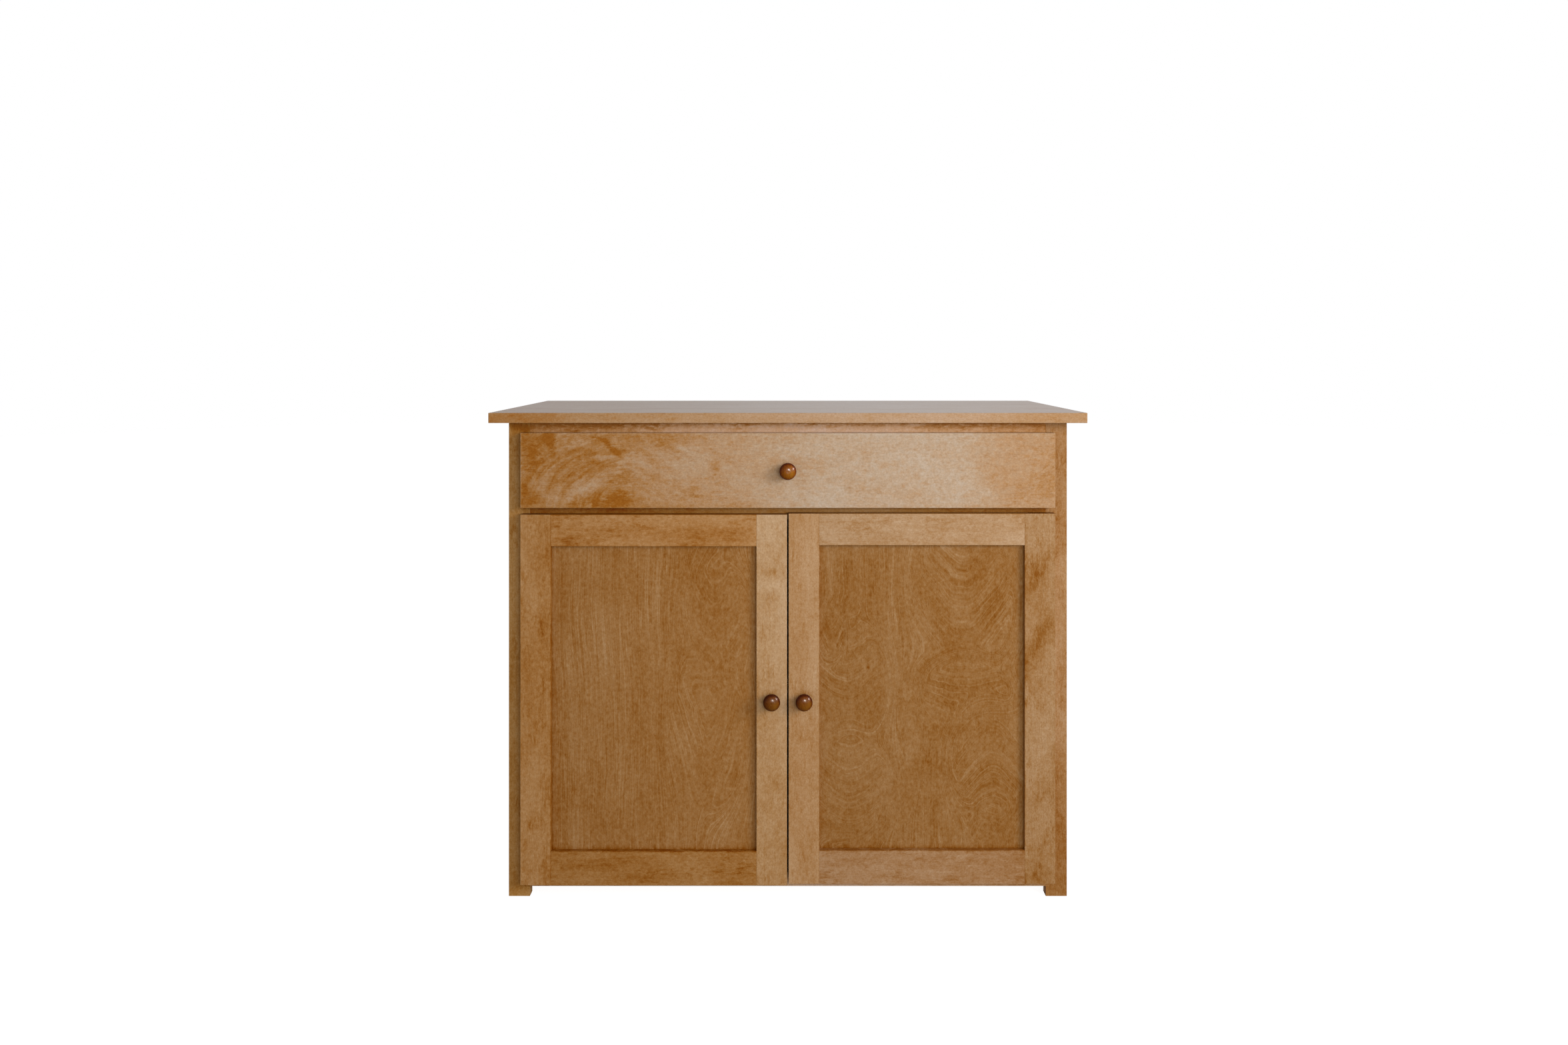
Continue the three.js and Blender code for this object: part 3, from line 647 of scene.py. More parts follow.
def lacquered(g, board, color, roughness, sheen=0.1):
    return g.finish(
        Base_Color=g.screen(color),
        Roughness=g.total(roughness, g.layer("lacquer", board.wood)),
        IOR=LACQUER_IOR,
        Specular_IOR_Level=0.3,
        Coat_Weight=sheen,
        Coat_Roughness=0.3,
        Coat_IOR=LACQUER_IOR,
        Normal=g.bump(board.relief(), distance=0.15 * MM),
    )


def birch(name, order, seed, tones, *, roughness=0.42, sheen=0.1, whorls=0.0, cathedrals=(), staves=0.0,
          **layers):
    """Stained solid birch or its veneer, with end grain on the ends."""
    g = new_graph(name)
    board = Board(g, order, seed, whorls=whorls, cathedrals=cathedrals, staves=staves)
    end = g.fade(facing(g, order, 2), *END_ON)
    color = g.mix(end, board.color(tones, **layers), board.end_color())
    return lacquered(g, board, color, roughness, sheen)


PLY_TONES = stain(206, 170, 122, 0.6)
CROSS_PLY_TONES = stain(168, 122, 76, 0.8)
GLUE_TONE = shown(96, 58, 28)
PLY_FIGURE = {"warp": 0.06, "whorls": 0.014}
PLY_LAYERS = {"lines": 0.12, "blotch": 0.16, "mottle": 0.1, "streaks": 0.12}
# Within a ply's thickness: where it turns to the crossed one, and where its glue begins
CROSSED = (0.42, 0.58)
GLUED = (0.42, 0.5)
GLUE_SHARE = 0.7
LONG_PLY_SHARE = 0.5
CROSS_PLY_SHARE = 0.9


def plywood(node, order, seed, tones, plies=9, roughness=0.5):
    """Birch plywood: a veneered face, and on its edges the plies, every other one across."""
    g = new_graph(node)
    board = Board(g, order, seed, **PLY_FIGURE)
    low, high = (corner["XYZ".index(order[1])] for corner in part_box(node))
    depth = g.math("DIVIDE", g.math("SUBTRACT", board.through, low), (high - low) / plies)
    crossed = g.fade(g.math("PINGPONG", depth, 1.0), *CROSSED)
    glue = g.fade(g.math("ABSOLUTE", g.math("SUBTRACT", g.math("FRACT", depth), 0.5)), *GLUED)
    sides = []
    for grain, share, ply_tones in ((board.fibres, LONG_PLY_SHARE, PLY_TONES),
                                    (board.flecks, CROSS_PLY_SHARE, CROSS_PLY_TONES)):
        sides.append(g.ramp(g.total(MIDDLE, g.product(grain, share)), spread_out(ply_tones)))
    edge = g.mix(g.product(glue, GLUE_SHARE), g.mix(crossed, *sides), GLUE_TONE)
    face = g.fade(facing(g, order, 1), *FACE_ON)
    return lacquered(g, board, g.mix(face, edge, board.color(tones, **PLY_LAYERS)), roughness)


def darkened(tint, share):
    return tuple(share * value for value in tint)


def metal(name, order, tint, roughness, seed=0.0, spangle=0.0):
    """Plated steel, drawn along the part, with faint cloudy plating."""
    g = new_graph(name)
    place_in = g.vector_math("ADD", g.vector(*board_axes(g, order)), (seed, seed, seed))
    drawn = g.layer("drawn_metal", place_in)
    cloud = g.layer("plating", place_in)
    crystal = g.layer("spangle", place_in, spangle)
    shade = g.total(MIDDLE, g.product(drawn, 0.25), g.product(cloud, 0.5), crystal)
    return g.finish(
        Base_Color=g.ramp(shade, [(0.0, darkened(tint, 0.72)), (1.0, tint)]),
        Metallic=1.0,
        Roughness=g.total(roughness, g.product(drawn, 0.08), g.product(cloud, 0.1)),
        Normal=g.bump(g.total(drawn, g.product(cloud, 0.3)), distance=0.02 * MM),
    )


# The knobs' darker stain, from its rim to its face, and how much of it each knob shows
KNOB_FACE = shown(158, 102, 30)
KNOB_TURN = shown(126, 66, 6)
KNOB_RIM = shown(84, 32, 0)
KNOB_STOPS = ((0.0, KNOB_RIM), (1.0, KNOB_FACE), (0.45, KNOB_TURN))
KNOB_SHADE = {"drawer_knob": 0.98, "left_door_knob": 0.78, "right_door_knob": 0.84}
KNOB_START = -0.3
KNOB_SHARES = {"front": 0.72, "grain": 0.3, "rings": 0.3, "bottom": 0.22, "sideways": 0.32}
KNOB_FRONT = (0.3, 0.95)
# The knobs are painted lighter towards the right, where the light comes from; they are also paler towards
# the bottom
KNOB_BOTTOM = (12 * MM, -14 * MM)
KNOB_PAINTED_LIGHT_RIGHT = (-12 * MM, 14 * MM)
KNOB_PITH = (-21 * MM, -11 * MM)


def turned_wood(node, shade):
    """A knob of darker stain under lacquer: golden on its face, red-brown round its rim and neck, with
    painted light on its right side.
    """
    low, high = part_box(node)
    centre = (low + high) / 2
    g = new_graph(node)
    local = g.vector_math("SUBTRACT", g.coordinates(), tuple(centre))
    x, y, z = g.split(local)
    from_pith = [g.total(value, -place) for value, place in zip((x, z), KNOB_PITH)]
    radius = g.math("SQRT", g.total(*(g.product(value, value) for value in from_pith)))
    found = {
        "front": g.fade(g.product(g.split(g.coordinates("Normal"))[1], -1), *KNOB_FRONT),
        "grain": g.layer("knob_grain", g.vector_math("ADD", local, (centre.x, 0, centre.z))),
        "rings": g.layer("knob_rings", g.vector(radius, 0, y)),
        "bottom": g.fade(z, *KNOB_BOTTOM),
        "sideways": g.fade(x, *KNOB_PAINTED_LIGHT_RIGHT),
    }
    value = g.total(KNOB_START, *(g.product(found[part], share) for part, share in KNOB_SHARES.items()))
    color = g.ramp(value, [(position, darkened(tone, shade)) for position, tone in KNOB_STOPS])
    return g.finish(
        Base_Color=g.screen(color),
        Roughness=0.4,
        IOR=LACQUER_IOR,
        Specular_IOR_Level=0.08,
        Coat_Weight=0.32,
        Coat_Roughness=0.25,
        Coat_IOR=1.4,
        Normal=g.bump(g.total(found["grain"], found["rings"]), distance=0.02 * MM),
    )


def rubber(name, tint):
    g = new_graph(name)
    grain = g.layer("rubber_grain", g.coordinates())
    shade = g.total(MIDDLE, g.product(grain, 0.4), g.layer("rubber_cloud", g.coordinates()))
    return g.finish(
        Base_Color=g.ramp(shade, [(0.0, darkened(tint, 0.7)), (1.0, tint)]),
        Roughness=g.total(0.42, g.product(grain, 0.1)),
        Normal=g.bump(grain, distance=0.03 * MM),
    )


# How far the sharp edges of each kind of piece are rounded
EASE = {
    "top": 0.8 * MM, "drawer_front": 1 * MM, "lock_stile": 1.2 * MM, "panel": 0, "frame": 0.35 * MM,
    "plywood": 0.4 * MM, "thin_plywood": 0.3 * MM,
    "slide": 0.25 * MM, "hinge_base": 0.5 * MM, "small_metal": 0.2 * MM,
}


def modify(piece, name, kind, **settings):
    with_settings(piece.modifiers.new(name, kind), **settings)


def ease(node, radius):
    """Rounds the sharp edges of a CAD node, whose own mesh stays as it is."""
    piece = nodes[node]
    modify(piece, "weld", "WELD", merge_threshold=0.01 * MM)
    modify(piece, "flat", "DECIMATE", decimate_type="DISSOLVE", angle_limit=math.radians(0.5))
    modify(piece, "ease", "BEVEL", width=radius, segments=3, limit_method="ANGLE",
           angle_limit=math.radians(40), harden_normals=False)


def paint(node, material, radius):
    mesh = nodes[node].data
    mesh.materials.clear()
    mesh.materials.append(material)
    if radius:
        ease(node, radius)


# Small turned and pressed pieces, built along +Z and then stood where they belong
FACETS = {"knob": 64, "machine_screw": 32, "bumper": 32, "pan_screw": 24, "brad": 12}
SHARP_ANGLE = math.radians(38)


def turn(profile, facets):
    """A closed turned shape about +Z, from (radius, height) points that start and end on the axis."""
    shape = bmesh.new()
    rings = []
    for radius, height in profile:
        count = facets if radius > 0 else 1
        ring = []
        for step in range(count):
            angle = 2 * math.pi * step / facets
            ring.append(shape.verts.new((radius * math.cos(angle), radius * math.sin(angle), height)))
        rings.append(ring)
    for lower, upper in zip(rings, rings[1:]):
        for step in range(facets):
            corners = []
            for ring, index in ((lower, step), (lower, step + 1), (upper, step + 1), (upper, step)):
                corner = ring[index % len(ring)]
                if corner not in corners:
                    corners.append(corner)
            if len(corners) > 2:
                shape.faces.new(corners)
    bmesh.ops.recalc_face_normals(shape, faces=shape.faces)
    return mesh_from(shape, "turned")


def stand(location, direction, spin=0.0):
    """The transform that stands a +Z shape at a place, pointing in a direction."""
    turned = Vector(direction).to_track_quat("Z", "Y").to_matrix().to_4x4()
    return Matrix.Translation(location) @ turned @ Matrix.Rotation(spin, 4, "Z")


def assemble(name, parts, material, body):
    """One piece from meshes, each with its transform; it rides on a body."""
    shape = bmesh.new()
    for mesh, transform in parts:
        copy = mesh.copy()
        copy.transform(transform)
        shape.from_mesh(copy)
        bpy.data.meshes.remove(copy)
    for face in shape.faces:
        face.smooth = True
    for edge in shape.edges:
        if len(edge.link_faces) == 2 and edge.calc_face_angle() > SHARP_ANGLE:
            edge.smooth = False
    piece = plain_object(name, mesh_from(shape, name), material)
    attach(piece, body)
    return piece


def carved(mesh, cutter):
    """The first mesh less the second."""
    body = added("body", mesh)
    tool = added("tool", cutter)
    modify(body, "carve", "BOOLEAN", operation="DIFFERENCE", solver="EXACT", object=tool)
    bpy.context.view_layer.update()
    result = bpy.data.meshes.new_from_object(body.evaluated_get(bpy.context.evaluated_depsgraph_get()))
    for made in (body, tool):
        bpy.data.objects.remove(made)
    return result


CROSS_TAPER = 0.55


def cross_cutter(reach, width, top, depth):
    """A tapered cross, for the recess of a screw head."""
    shape = bmesh.new()
    half = width / 2
    outline = []
    arm = ((half, half, 0), (half, reach, 0), (-half, reach, 0))
    for step in range(4):
        quarter = Matrix.Rotation(step * math.pi / 2, 4, "Z")
        outline += [quarter @ Vector(corner) for corner in arm]
    upper = [shape.verts.new((p.x, p.y, top)) for p in outline]
    lower = [shape.verts.new((p.x * CROSS_TAPER, p.y * CROSS_TAPER, top - depth)) for p in outline]
    shape.faces.new(upper)
    shape.faces.new(reversed(lower))
    for step, onward in enumerate([*range(1, len(outline)), 0]):
        shape.faces.new((upper[step], lower[step], lower[onward], upper[onward]))
    bmesh.ops.recalc_face_normals(shape, faces=shape.faces)
    return mesh_from(shape, "cross")


def dome(radius, height, foot=0.0, steps=6):
    """Profile of a low dome on a short cylinder."""
    points = [(0, 0), (radius, 0)]
    if foot:
        points.append((radius, foot))
    for step in range(1, steps + 1):
        angle = math.pi / 2 * step / steps
        across = radius * math.cos(angle) if step < steps else 0
        points.append((across, foot + (height - foot) * math.sin(angle)))
    return points


CROSS_WIDTH = 0.24


def pan_screw(radius, height):
    """A pan-head screw's head, with a cross recess."""
    head = turn(dome(radius, height, foot=0.35 * height), FACETS["pan_screw"])
    return carved(head, cross_cutter(
        reach=0.62 * radius,
        width=CROSS_WIDTH * radius,
        top=1.2 * height,
        depth=0.9 * height,
    ))


# Wood tones, each by the middle one
# The paler, greyer middles of the top and bottom frame rails, the drawer front, the top, the lock stiles
# and the right top rail are partly a painted sheen
FRAME_STAIN = stain(172, 124, 74)
REVEAL_STAIN = {"left": stain(176, 130, 75), "right": stain(165, 122, 79)}
RAIL_STAIN = stain(195, 153, 115, deeper=(42, 58, 80), paler=(12, 26, 46))
# The middle rail's deeper tone is partly painted shade, for the slot between the drawer front and the doors
MIDDLE_RAIL_STAIN_AND_SHADE = stain(157, 106, 48, deeper=(24, 40, 44), paler=(14, 28, 44))
DOOR_STAIN = {
    ("left", "hinge_stile"): stain(171, 124, 75),
    ("left", "lock_stile"): stain(184, 146, 106, 0.8),
    ("left", "top_rail"): stain(174, 127, 79),
    ("left", "bottom_rail"): stain(162, 114, 63),
    ("right", "lock_stile"): stain(179, 138, 97, 0.8),
    ("right", "hinge_stile"): stain(165, 125, 84),
    ("right", "top_rail"): stain(180, 144, 108, 0.9),
    ("right", "bottom_rail"): stain(168, 128, 91),
}
PANEL_STAIN = {"left": stain(156, 110, 62), "right": stain(151, 107, 61)}
DRAWER_STAIN = stain(179, 139, 101, deeper=(26, 46, 74), paler=(12, 31, 48))
TOP_STAIN = stain(178, 137, 96, deeper=(16, 34, 54), paler=(13, 23, 38))
INSIDE_STAIN = stain(190, 146, 92, 0.7)
BACK_STAIN = stain(202, 164, 116, 0.7)

# Changes of tone along a board: (pixel column, or row on an upright board; change in value)
# On the drawer front, the frame rails and the top's edge it is partly a painted sheen, paler and greyer
# towards
# the middle, and partly stain, deeper at the left
DRAWER_TONE_AND_SHEEN = ((790, -0.24), (880, -0.1), (1000, -0.02), (1110, 0.14), (1220, 0.36), (1440, 0.36),
                 (1500, 0.08), (1580, 0.02))
RAIL_TONE_AND_SHEEN = ((780, -0.2), (980, -0.02), (1130, 0.2), (1260, 0.3), (1450, 0.02), (1600, -0.12))
# The left lock stile's change, paler at its top, is partly a painted sheen that falls off downwards
MEMBER_SHADES = {
    ("left", "lock_stile"): ((780, 0.2), (900, 0.15), (1060, -0.04), (1325, -0.15)),
    ("right", "frame_stile"): (
        (650, 0), (760, -0.03), (1000, 0.17), (1120, 0.1), (1250, -0.18), (1345, -0.2),
    ),
    ("left", "top_rail"): ((830, -0.1), (960, -0.04), (1130, 0.1)),
}
TOP_TONE_AND_SHEEN = ((735, -0.06), (980, 0.1), (1130, 0.32), (1300, 0.38), (1480, 0.2), (1625, 0.08))

# What is placed one by one, by its pixel in the photograph and its reach in pixels.
# Patches: pixel, reach, depth (less than 0 is paler), slant. Curls: pixel, reach, angle, weight.
# Swirls: pivot, pixel, reach, weight. Arches of the figure: pixel, reach, steepness, rounding, rise.
DRAWER_PATCHES = (
    ((823, 660), (9, 12), 0.5), ((828, 672), (6, 12), 0.42), ((799, 684), (8, 16), 0.34),
    ((892, 658), (18, 6), 0.2), ((912, 667), (16, 5), 0.4, -0.8), ((925, 680), (8, 5), 0.3, -0.8),
    ((927, 746), (17, 13), 0.44), ((905, 752), (26, 8), 0.38), ((850, 716), (40, 4), 0.2, 0.6),
    ((803, 750), (10, 9), 0.34), ((788, 738), (5, 10), 0.3), ((1040, 732), (8, 8), 0.2),
    ((1073, 698), (9, 18), 0.26), ((1027, 675), (24, 4), -0.24, -0.6),
    ((985, 705), (60, 20), -0.09), ((872, 735), (26, 6), -0.2, 0.5),
)
DRAWER_SWIRLS = (((965, 775), (862, 706), (100, 70), 0.44),)
DRAWER_CURLS = (((1010, 700), (90, 60), -28, 0.2),)
DRAWER_FIGURE = (((1420, 706), (130, 34), -0.8, 0.030, 0.2),)

PANEL_FIGURE = {
    "left": (
        ((1060, 1100), (60, 130), 3.6, 0.010, 0.15), ((1075, 930), (52, 90), 2.6, 0.014, 0.2),
    ),
    "right": (
        ((1270, 1020), (60, 90), 1.1, 0.030, 0.55), ((1275, 1180), (60, 80), 1.0, 0.028, 0.6),
        ((1445, 900), (85, 110), 1.7, 0.040, 0.4), ((1450, 1040), (70, 50), 0.5, 0.060, 0.6),
        ((1362, 1110), (20, 90), 5.0, 0.008, 0.12), ((1490, 1150), (62, 80), -1.5, 0.026, 0.5),
        ((1480, 1256), (24, 26), -2.4, 0.010, 0.42), ((1248, 950), (20, 40), 3.0, 0.010, 0.3),
    ),
}
WHORLS = {"left": 0.016, "right": 0.02}
PANEL_PATCHES = {
    "left": (
        ((1050, 850), (70, 40), 0.13), ((1080, 930), (50, 50), 0.07), ((880, 1215), (50, 40), 0.05),
        ((900, 1000), (60, 90), -0.05), ((842, 880), (8, 60), 0.11),
    ),
    "right": (
        ((1303, 1004), (2.2, 2.2), 0.72), ((1400, 1150), (26, 24), 0.14),
        ((1440, 1100), (70, 14), 0.13, 1.0), ((1337, 1000), (9, 200), -0.11),
        ((1240, 945), (10, 16), 0.18), ((1500, 1180), (40, 60), 0.07),
        ((1480, 860), (50, 40), 0.05), ((1365, 1120), (12, 50), -0.13),
    ),
}
STILE_PATCHES = {
    ("left", "hinge_stile"): (
        ((797, 1237), (9, 12), 0.29), ((812, 880), (9, 50), 0.16), ((815, 940), (6, 30), 0.14),
        ((790, 1050), (5, 40), 0.09), ((820, 1180), (5, 30), 0.11),
    ),
    ("left", "lock_stile"): (
        ((1160, 858), (22, 7), 0.18, 0.6), ((1152, 895), (18, 7), 0.16, -0.4),
        # The paler patch at (1141, 1058) is painted light that lightens the door knob's shadow
        ((1160, 878), (16, 8), -0.14), ((1159, 1041), (10, 6), 0.42), ((1141, 1058), (6, 10), -0.3),
    ),
    ("right", "lock_stile"): (
        ((1205, 1041), (11, 6), 0.42), ((1216, 860), (8, 12), 0.11),
    ),
    ("right", "hinge_stile"): (
        ((1560, 855), (13, 46), 0.3, 0.62), ((1549, 882), (9, 22), 0.14, 0.6),
        ((1558, 962), (12, 40), 0.26, 0.6), ((1549, 985), (9, 20), 0.1, 0.6),
        ((1550, 1318), (18, 12), 0.22), ((1565, 1110), (16, 30), -0.07),
    ),
}
RAIL_PATCHES = {
    ("left", "top_rail"): (
        ((860, 812), (36, 6), 0.18), ((1080, 800), (50, 10), 0.11), ((920, 795), (30, 8), 0.07),
    ),
    ("left", "bottom_rail"): (((880, 1300), (50, 14), 0.11), ((960, 1318), (40, 8), 0.11)),
    ("right", "top_rail"): (((1330, 812), (60, 5), 0.13), ((1500, 790), (40, 10), 0.09)),
    ("right", "bottom_rail"): (((1300, 1290), (50, 5), 0.11), ((1490, 1310), (40, 10), 0.07)),
}
RAIL_CURLS = {("left", "bottom_rail"): (((1090, 1302), (60, 30), -28, 0.2),)}
FRAME_RAIL_PATCHES = (((789, 643), (5, 7), 0.3), ((850, 645), (24, 5), 0.12), ((900, 641), (30, 4), 0.1))
FRAME_STILE_PATCHES = {
    "left": (
        # The first two patches are partly stain at the joint and partly painted shadow under the top's
        # overhang
        ((772, 642), (10, 9), 0.4), ((787, 645), (7, 8), 0.7), ((777, 690), (7, 14), 0.16),
        ((784, 766), (12, 7), 0.3), ((794, 1328), (2, 2), 0.43), ((784, 1336), (2, 2), 0.43),
        ((778, 1338), (16, 8), 0.12),
    ),
    "right": (((1592, 1265), (12, 40), 0.1), ((1594, 900), (10, 60), 0.07)),
}
TOP_EDGE_PATCHES = (((1002, 625), (14, 6), 0.14), ((800, 628), (50, 8), 0.07))

# Lines along edges: the width of the line, and its depth in the tone. Round a panel's recess they are stain
# gathered in its corners, partly painted shade.
GATHERED_STAIN_AND_SHADE_WIDTH = 1.6 * MM
GATHERED_STAIN_AND_SHADE_DEPTH = {"left": (0.2, 0.06), "right": (0.08, 0.06)}
GATHERED_STAIN_AND_SHADE_BELOW = 0.26
LEDGE_STAIN_AND_SHADE_WIDTH = 1.1 * MM
LEDGE_STAIN_AND_SHADE_DEPTH = {"top_rail": 0.25, "bottom_rail": 0.45, "hinge_stile": 0.34, "lock_stile": 0.2}
# A painted shadow on the top face of a door's top rail, under the drawer front
TOP_FACE_SHADOW_WIDTH = 0.5 * MM
TOP_FACE_SHADOW_DEPTH = 0.8
# A painted shadow on the top frame rail, under the top's overhang: its width and depth
UNDER_TOP_SHADOW_WIDTH = 8 * MM
UNDER_TOP_SHADOW_DEPTH = 0.66
# A painted highlight on the drawer front's eased top and left edges; its depths are less than 0, which is
# paler
ARRIS_HIGHLIGHT_WIDTH = 1.4 * MM
ARRIS_HIGHLIGHT_DEPTH = {"top": -0.16, "left": -0.4}
HINGE_SIDE_FIRST = {"left": ("hinge_stile", "lock_stile"), "right": ("lock_stile", "hinge_stile")}


def panel_edges(side):
    """The lines of gathered stain and painted shade at a panel's left, right and bottom edges."""
    left_stile, right_stile = HINGE_SIDE_FIRST[side]
    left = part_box(f"{side}_door_{left_stile}")[1].x
    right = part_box(f"{side}_door_{right_stile}")[0].x
    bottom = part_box(f"{side}_door_bottom_rail")[1].z
    edges = [(0, place, GATHERED_STAIN_AND_SHADE_WIDTH, depth) for place, depth in zip((left, right), GATHERED_STAIN_AND_SHADE_DEPTH[side])]
    return [*edges, (1, bottom, 2 * GATHERED_STAIN_AND_SHADE_WIDTH, GATHERED_STAIN_AND_SHADE_BELOW)]


def ledge_edges(side, part):
    """The same stain and painted shade on the edge of a door's member that faces the panel, and a painted
    shadow on a top rail's top face.
    """
    low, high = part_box(f"{side}_door_{part}")
    if part.endswith("rail"):
        inner = high.z if part == "bottom_rail" else low.z
    else:
        inner = high.x if part == HINGE_SIDE_FIRST[side][0] else low.x
    edges = [(0, inner, LEDGE_STAIN_AND_SHADE_WIDTH, LEDGE_STAIN_AND_SHADE_DEPTH[part])]
    if part == "top_rail":
        edges.append((0, high.z, TOP_FACE_SHADOW_WIDTH, TOP_FACE_SHADOW_DEPTH))
    return edges


add_camera()
for name, settings in SOFTBOXES.items():
    add_softbox(name, **settings)
add_surround()
add_stage()
bpy.context.scene.view_settings.view_transform = "Standard"

# The case
SEEDS = {
    "top": 1.3, "frame_stile": 2.1, "frame_rail": 4.2, "drawer_front": 7.7, "door_stile": 9.1,
    "door_rail": 15.3, "door_panel": 21.4, "side_panel": 25.4, "plywood": 31, "back_panel": 51,
    "drawer_bottom": 53,
}
PLYWOOD_SEED_STEP = 1.7
DOOR_SEED_STEP = 3
BOARD_LOOKS = {
    "top": {"staves": 118 * MM, "sheen": 0.45, "roughness": 0.34},
    "side_panel": {"staves": 108 * MM, "lines": 0.1, "blotch": 0.2, "mottle": 0.14, "streaks": 0.13},
    "drawer_front": {"blotch": 0.26, "mottle": 0.22},
    "door_panel": {"lines": 0.18, "blotch": 0.2, "mottle": 0.12, "streaks": 0.12, "grain": 0.08,
                   "sheen": 0.05, "roughness": 0.5},
}
FRAME_RAILS = {
    "top_frame_rail": RAIL_STAIN,
    "middle_frame_rail": MIDDLE_RAIL_STAIN_AND_SHADE,
    "bottom_frame_rail": RAIL_STAIN,
}
PLYWOOD_BOARDS = {
    "cupboard_floor": SLAB, "front_top_stretcher": SLAB, "rear_nailer": RAIL, "shelf": SLAB,
    "left_slide_spacer": RUNNER, "right_slide_spacer": RUNNER, "drawer_box_front": RAIL,
    "drawer_box_back": RAIL, "drawer_left_side": RUNNER, "drawer_right_side": RUNNER,
}
THIN_PLIES = 5


def paint_birch(node, order, seed, tones, ease="frame", **layers):
    paint(node, birch(node, order, seed, tones, **layers), EASE[ease])


paint_birch("top_panel", SLAB, SEEDS["top"], TOP_STAIN, "top", shades=TOP_TONE_AND_SHEEN, patches=TOP_EDGE_PATCHES,
            **BOARD_LOOKS["top"])
for index, (side, _) in enumerate(SIDES):
    paint_birch(f"{side}_frame_stile", UPRIGHT, SEEDS["frame_stile"] + index, REVEAL_STAIN[side],
                patches=FRAME_STILE_PATCHES[side], shades=MEMBER_SHADES.get((side, "frame_stile"), ()))
    paint_birch(f"{side}_side_panel", SIDE, SEEDS["side_panel"] + index, FRAME_STAIN,
                **BOARD_LOOKS["side_panel"])
# A painted shadow under the top's overhang, along the top edge of the top frame rail
painted_shadow_under_top = (0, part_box("top_frame_rail")[1].z, UNDER_TOP_SHADOW_WIDTH, UNDER_TOP_SHADOW_DEPTH)
for index, (node, tones) in enumerate(FRAME_RAILS.items()):
    paint_birch(node, RAIL, SEEDS["frame_rail"] + index, tones, shades=RAIL_TONE_AND_SHEEN,
                patches=FRAME_RAIL_PATCHES, edges=[painted_shadow_under_top])
for index, (node, order) in enumerate(PLYWOOD_BOARDS.items()):
    seed = SEEDS["plywood"] + PLYWOOD_SEED_STEP * index
    paint(node, plywood(node, order, seed, INSIDE_STAIN), EASE["plywood"])
for node, order, tones in (("back_panel", UPRIGHT, BACK_STAIN), ("drawer_bottom", SLAB, INSIDE_STAIN)):
    paint(node, plywood(node, order, SEEDS[node], tones, THIN_PLIES), EASE["thin_plywood"])

# The drawer front and the doors
drawer_low, drawer_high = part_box("drawer_front")
# Painted highlights along the drawer front's top and left edges
painted_arris_highlights = ((0, drawer_high.z, ARRIS_HIGHLIGHT_WIDTH, ARRIS_HIGHLIGHT_DEPTH["top"]), (1, drawer_low.x, ARRIS_HIGHLIGHT_WIDTH, ARRIS_HIGHLIGHT_DEPTH["left"]))
paint_birch("drawer_front", RAIL, SEEDS["drawer_front"], DRAWER_STAIN, "drawer_front", shades=DRAWER_TONE_AND_SHEEN,
            patches=DRAWER_PATCHES, curls=DRAWER_CURLS, swirls=DRAWER_SWIRLS, cathedrals=DRAWER_FIGURE,
            edges=painted_arris_highlights, **BOARD_LOOKS["drawer_front"])
DOOR_MEMBERS = (
    (UPRIGHT, "door_stile", ("hinge_stile", "lock_stile"), STILE_PATCHES),
    (RAIL, "door_rail", ("top_rail", "bottom_rail"), RAIL_PATCHES),
)
for index, (side, _) in enumerate(SIDES):
    for order, kind, parts, patches in DOOR_MEMBERS:
        for number, part in enumerate(parts):
            seed = SEEDS[kind] + DOOR_SEED_STEP * index + number
            paint_birch(f"{side}_door_{part}", order, seed, DOOR_STAIN[side, part],
                        part if part in EASE else "frame", patches=patches[side, part],
                        curls=RAIL_CURLS.get((side, part), ()), edges=ledge_edges(side, part),
                        shades=MEMBER_SHADES.get((side, part), ()))
    paint_birch(f"{side}_door_panel", UPRIGHT, SEEDS["door_panel"] + index, PANEL_STAIN[side], "panel",
                whorls=WHORLS[side], cathedrals=PANEL_FIGURE[side], patches=PANEL_PATCHES[side],
                edges=panel_edges(side), **BOARD_LOOKS["door_panel"])

# Hardware
ZINC = (0.56, 0.57, 0.60)
NICKEL = (0.60, 0.575, 0.53)
STEEL = metal("zinc_plated_screws", UPRIGHT, ZINC, roughness=0.3, spangle=0.1)
for index, (side, _) in enumerate(SIDES):
    for number, part in enumerate(("cabinet", "middle", "drawer")):
        node = f"{side}_slide_{part}_member"
        slide = metal(node, RUNNER, ZINC, roughness=0.34, seed=0.7 * index + 0.2 * number, spangle=0.25)
        paint(node, slide, EASE["slide"])
    for level in LEVELS:
        base = metal(f"{side}_{level}_base", UPRIGHT, ZINC, roughness=0.34, seed=0.3)
        paint(f"{side}_{level}_hinge_base", base, EASE["hinge_base"])
        for part in ("arm", "cup"):
            node = f"{side}_{level}_hinge_{part}"
            hinge = metal(node, UPRIGHT, NICKEL, roughness=0.24, seed=1.1 + index)
            paint(node, hinge, EASE["small_metal"])
    for row in ("front", "rear"):
        pin = metal(f"{side}_{row}_pin", UPRIGHT, NICKEL, roughness=0.26, seed=2.0)
        paint(f"{side}_{row}_shelf_pin", pin, EASE["small_metal"])

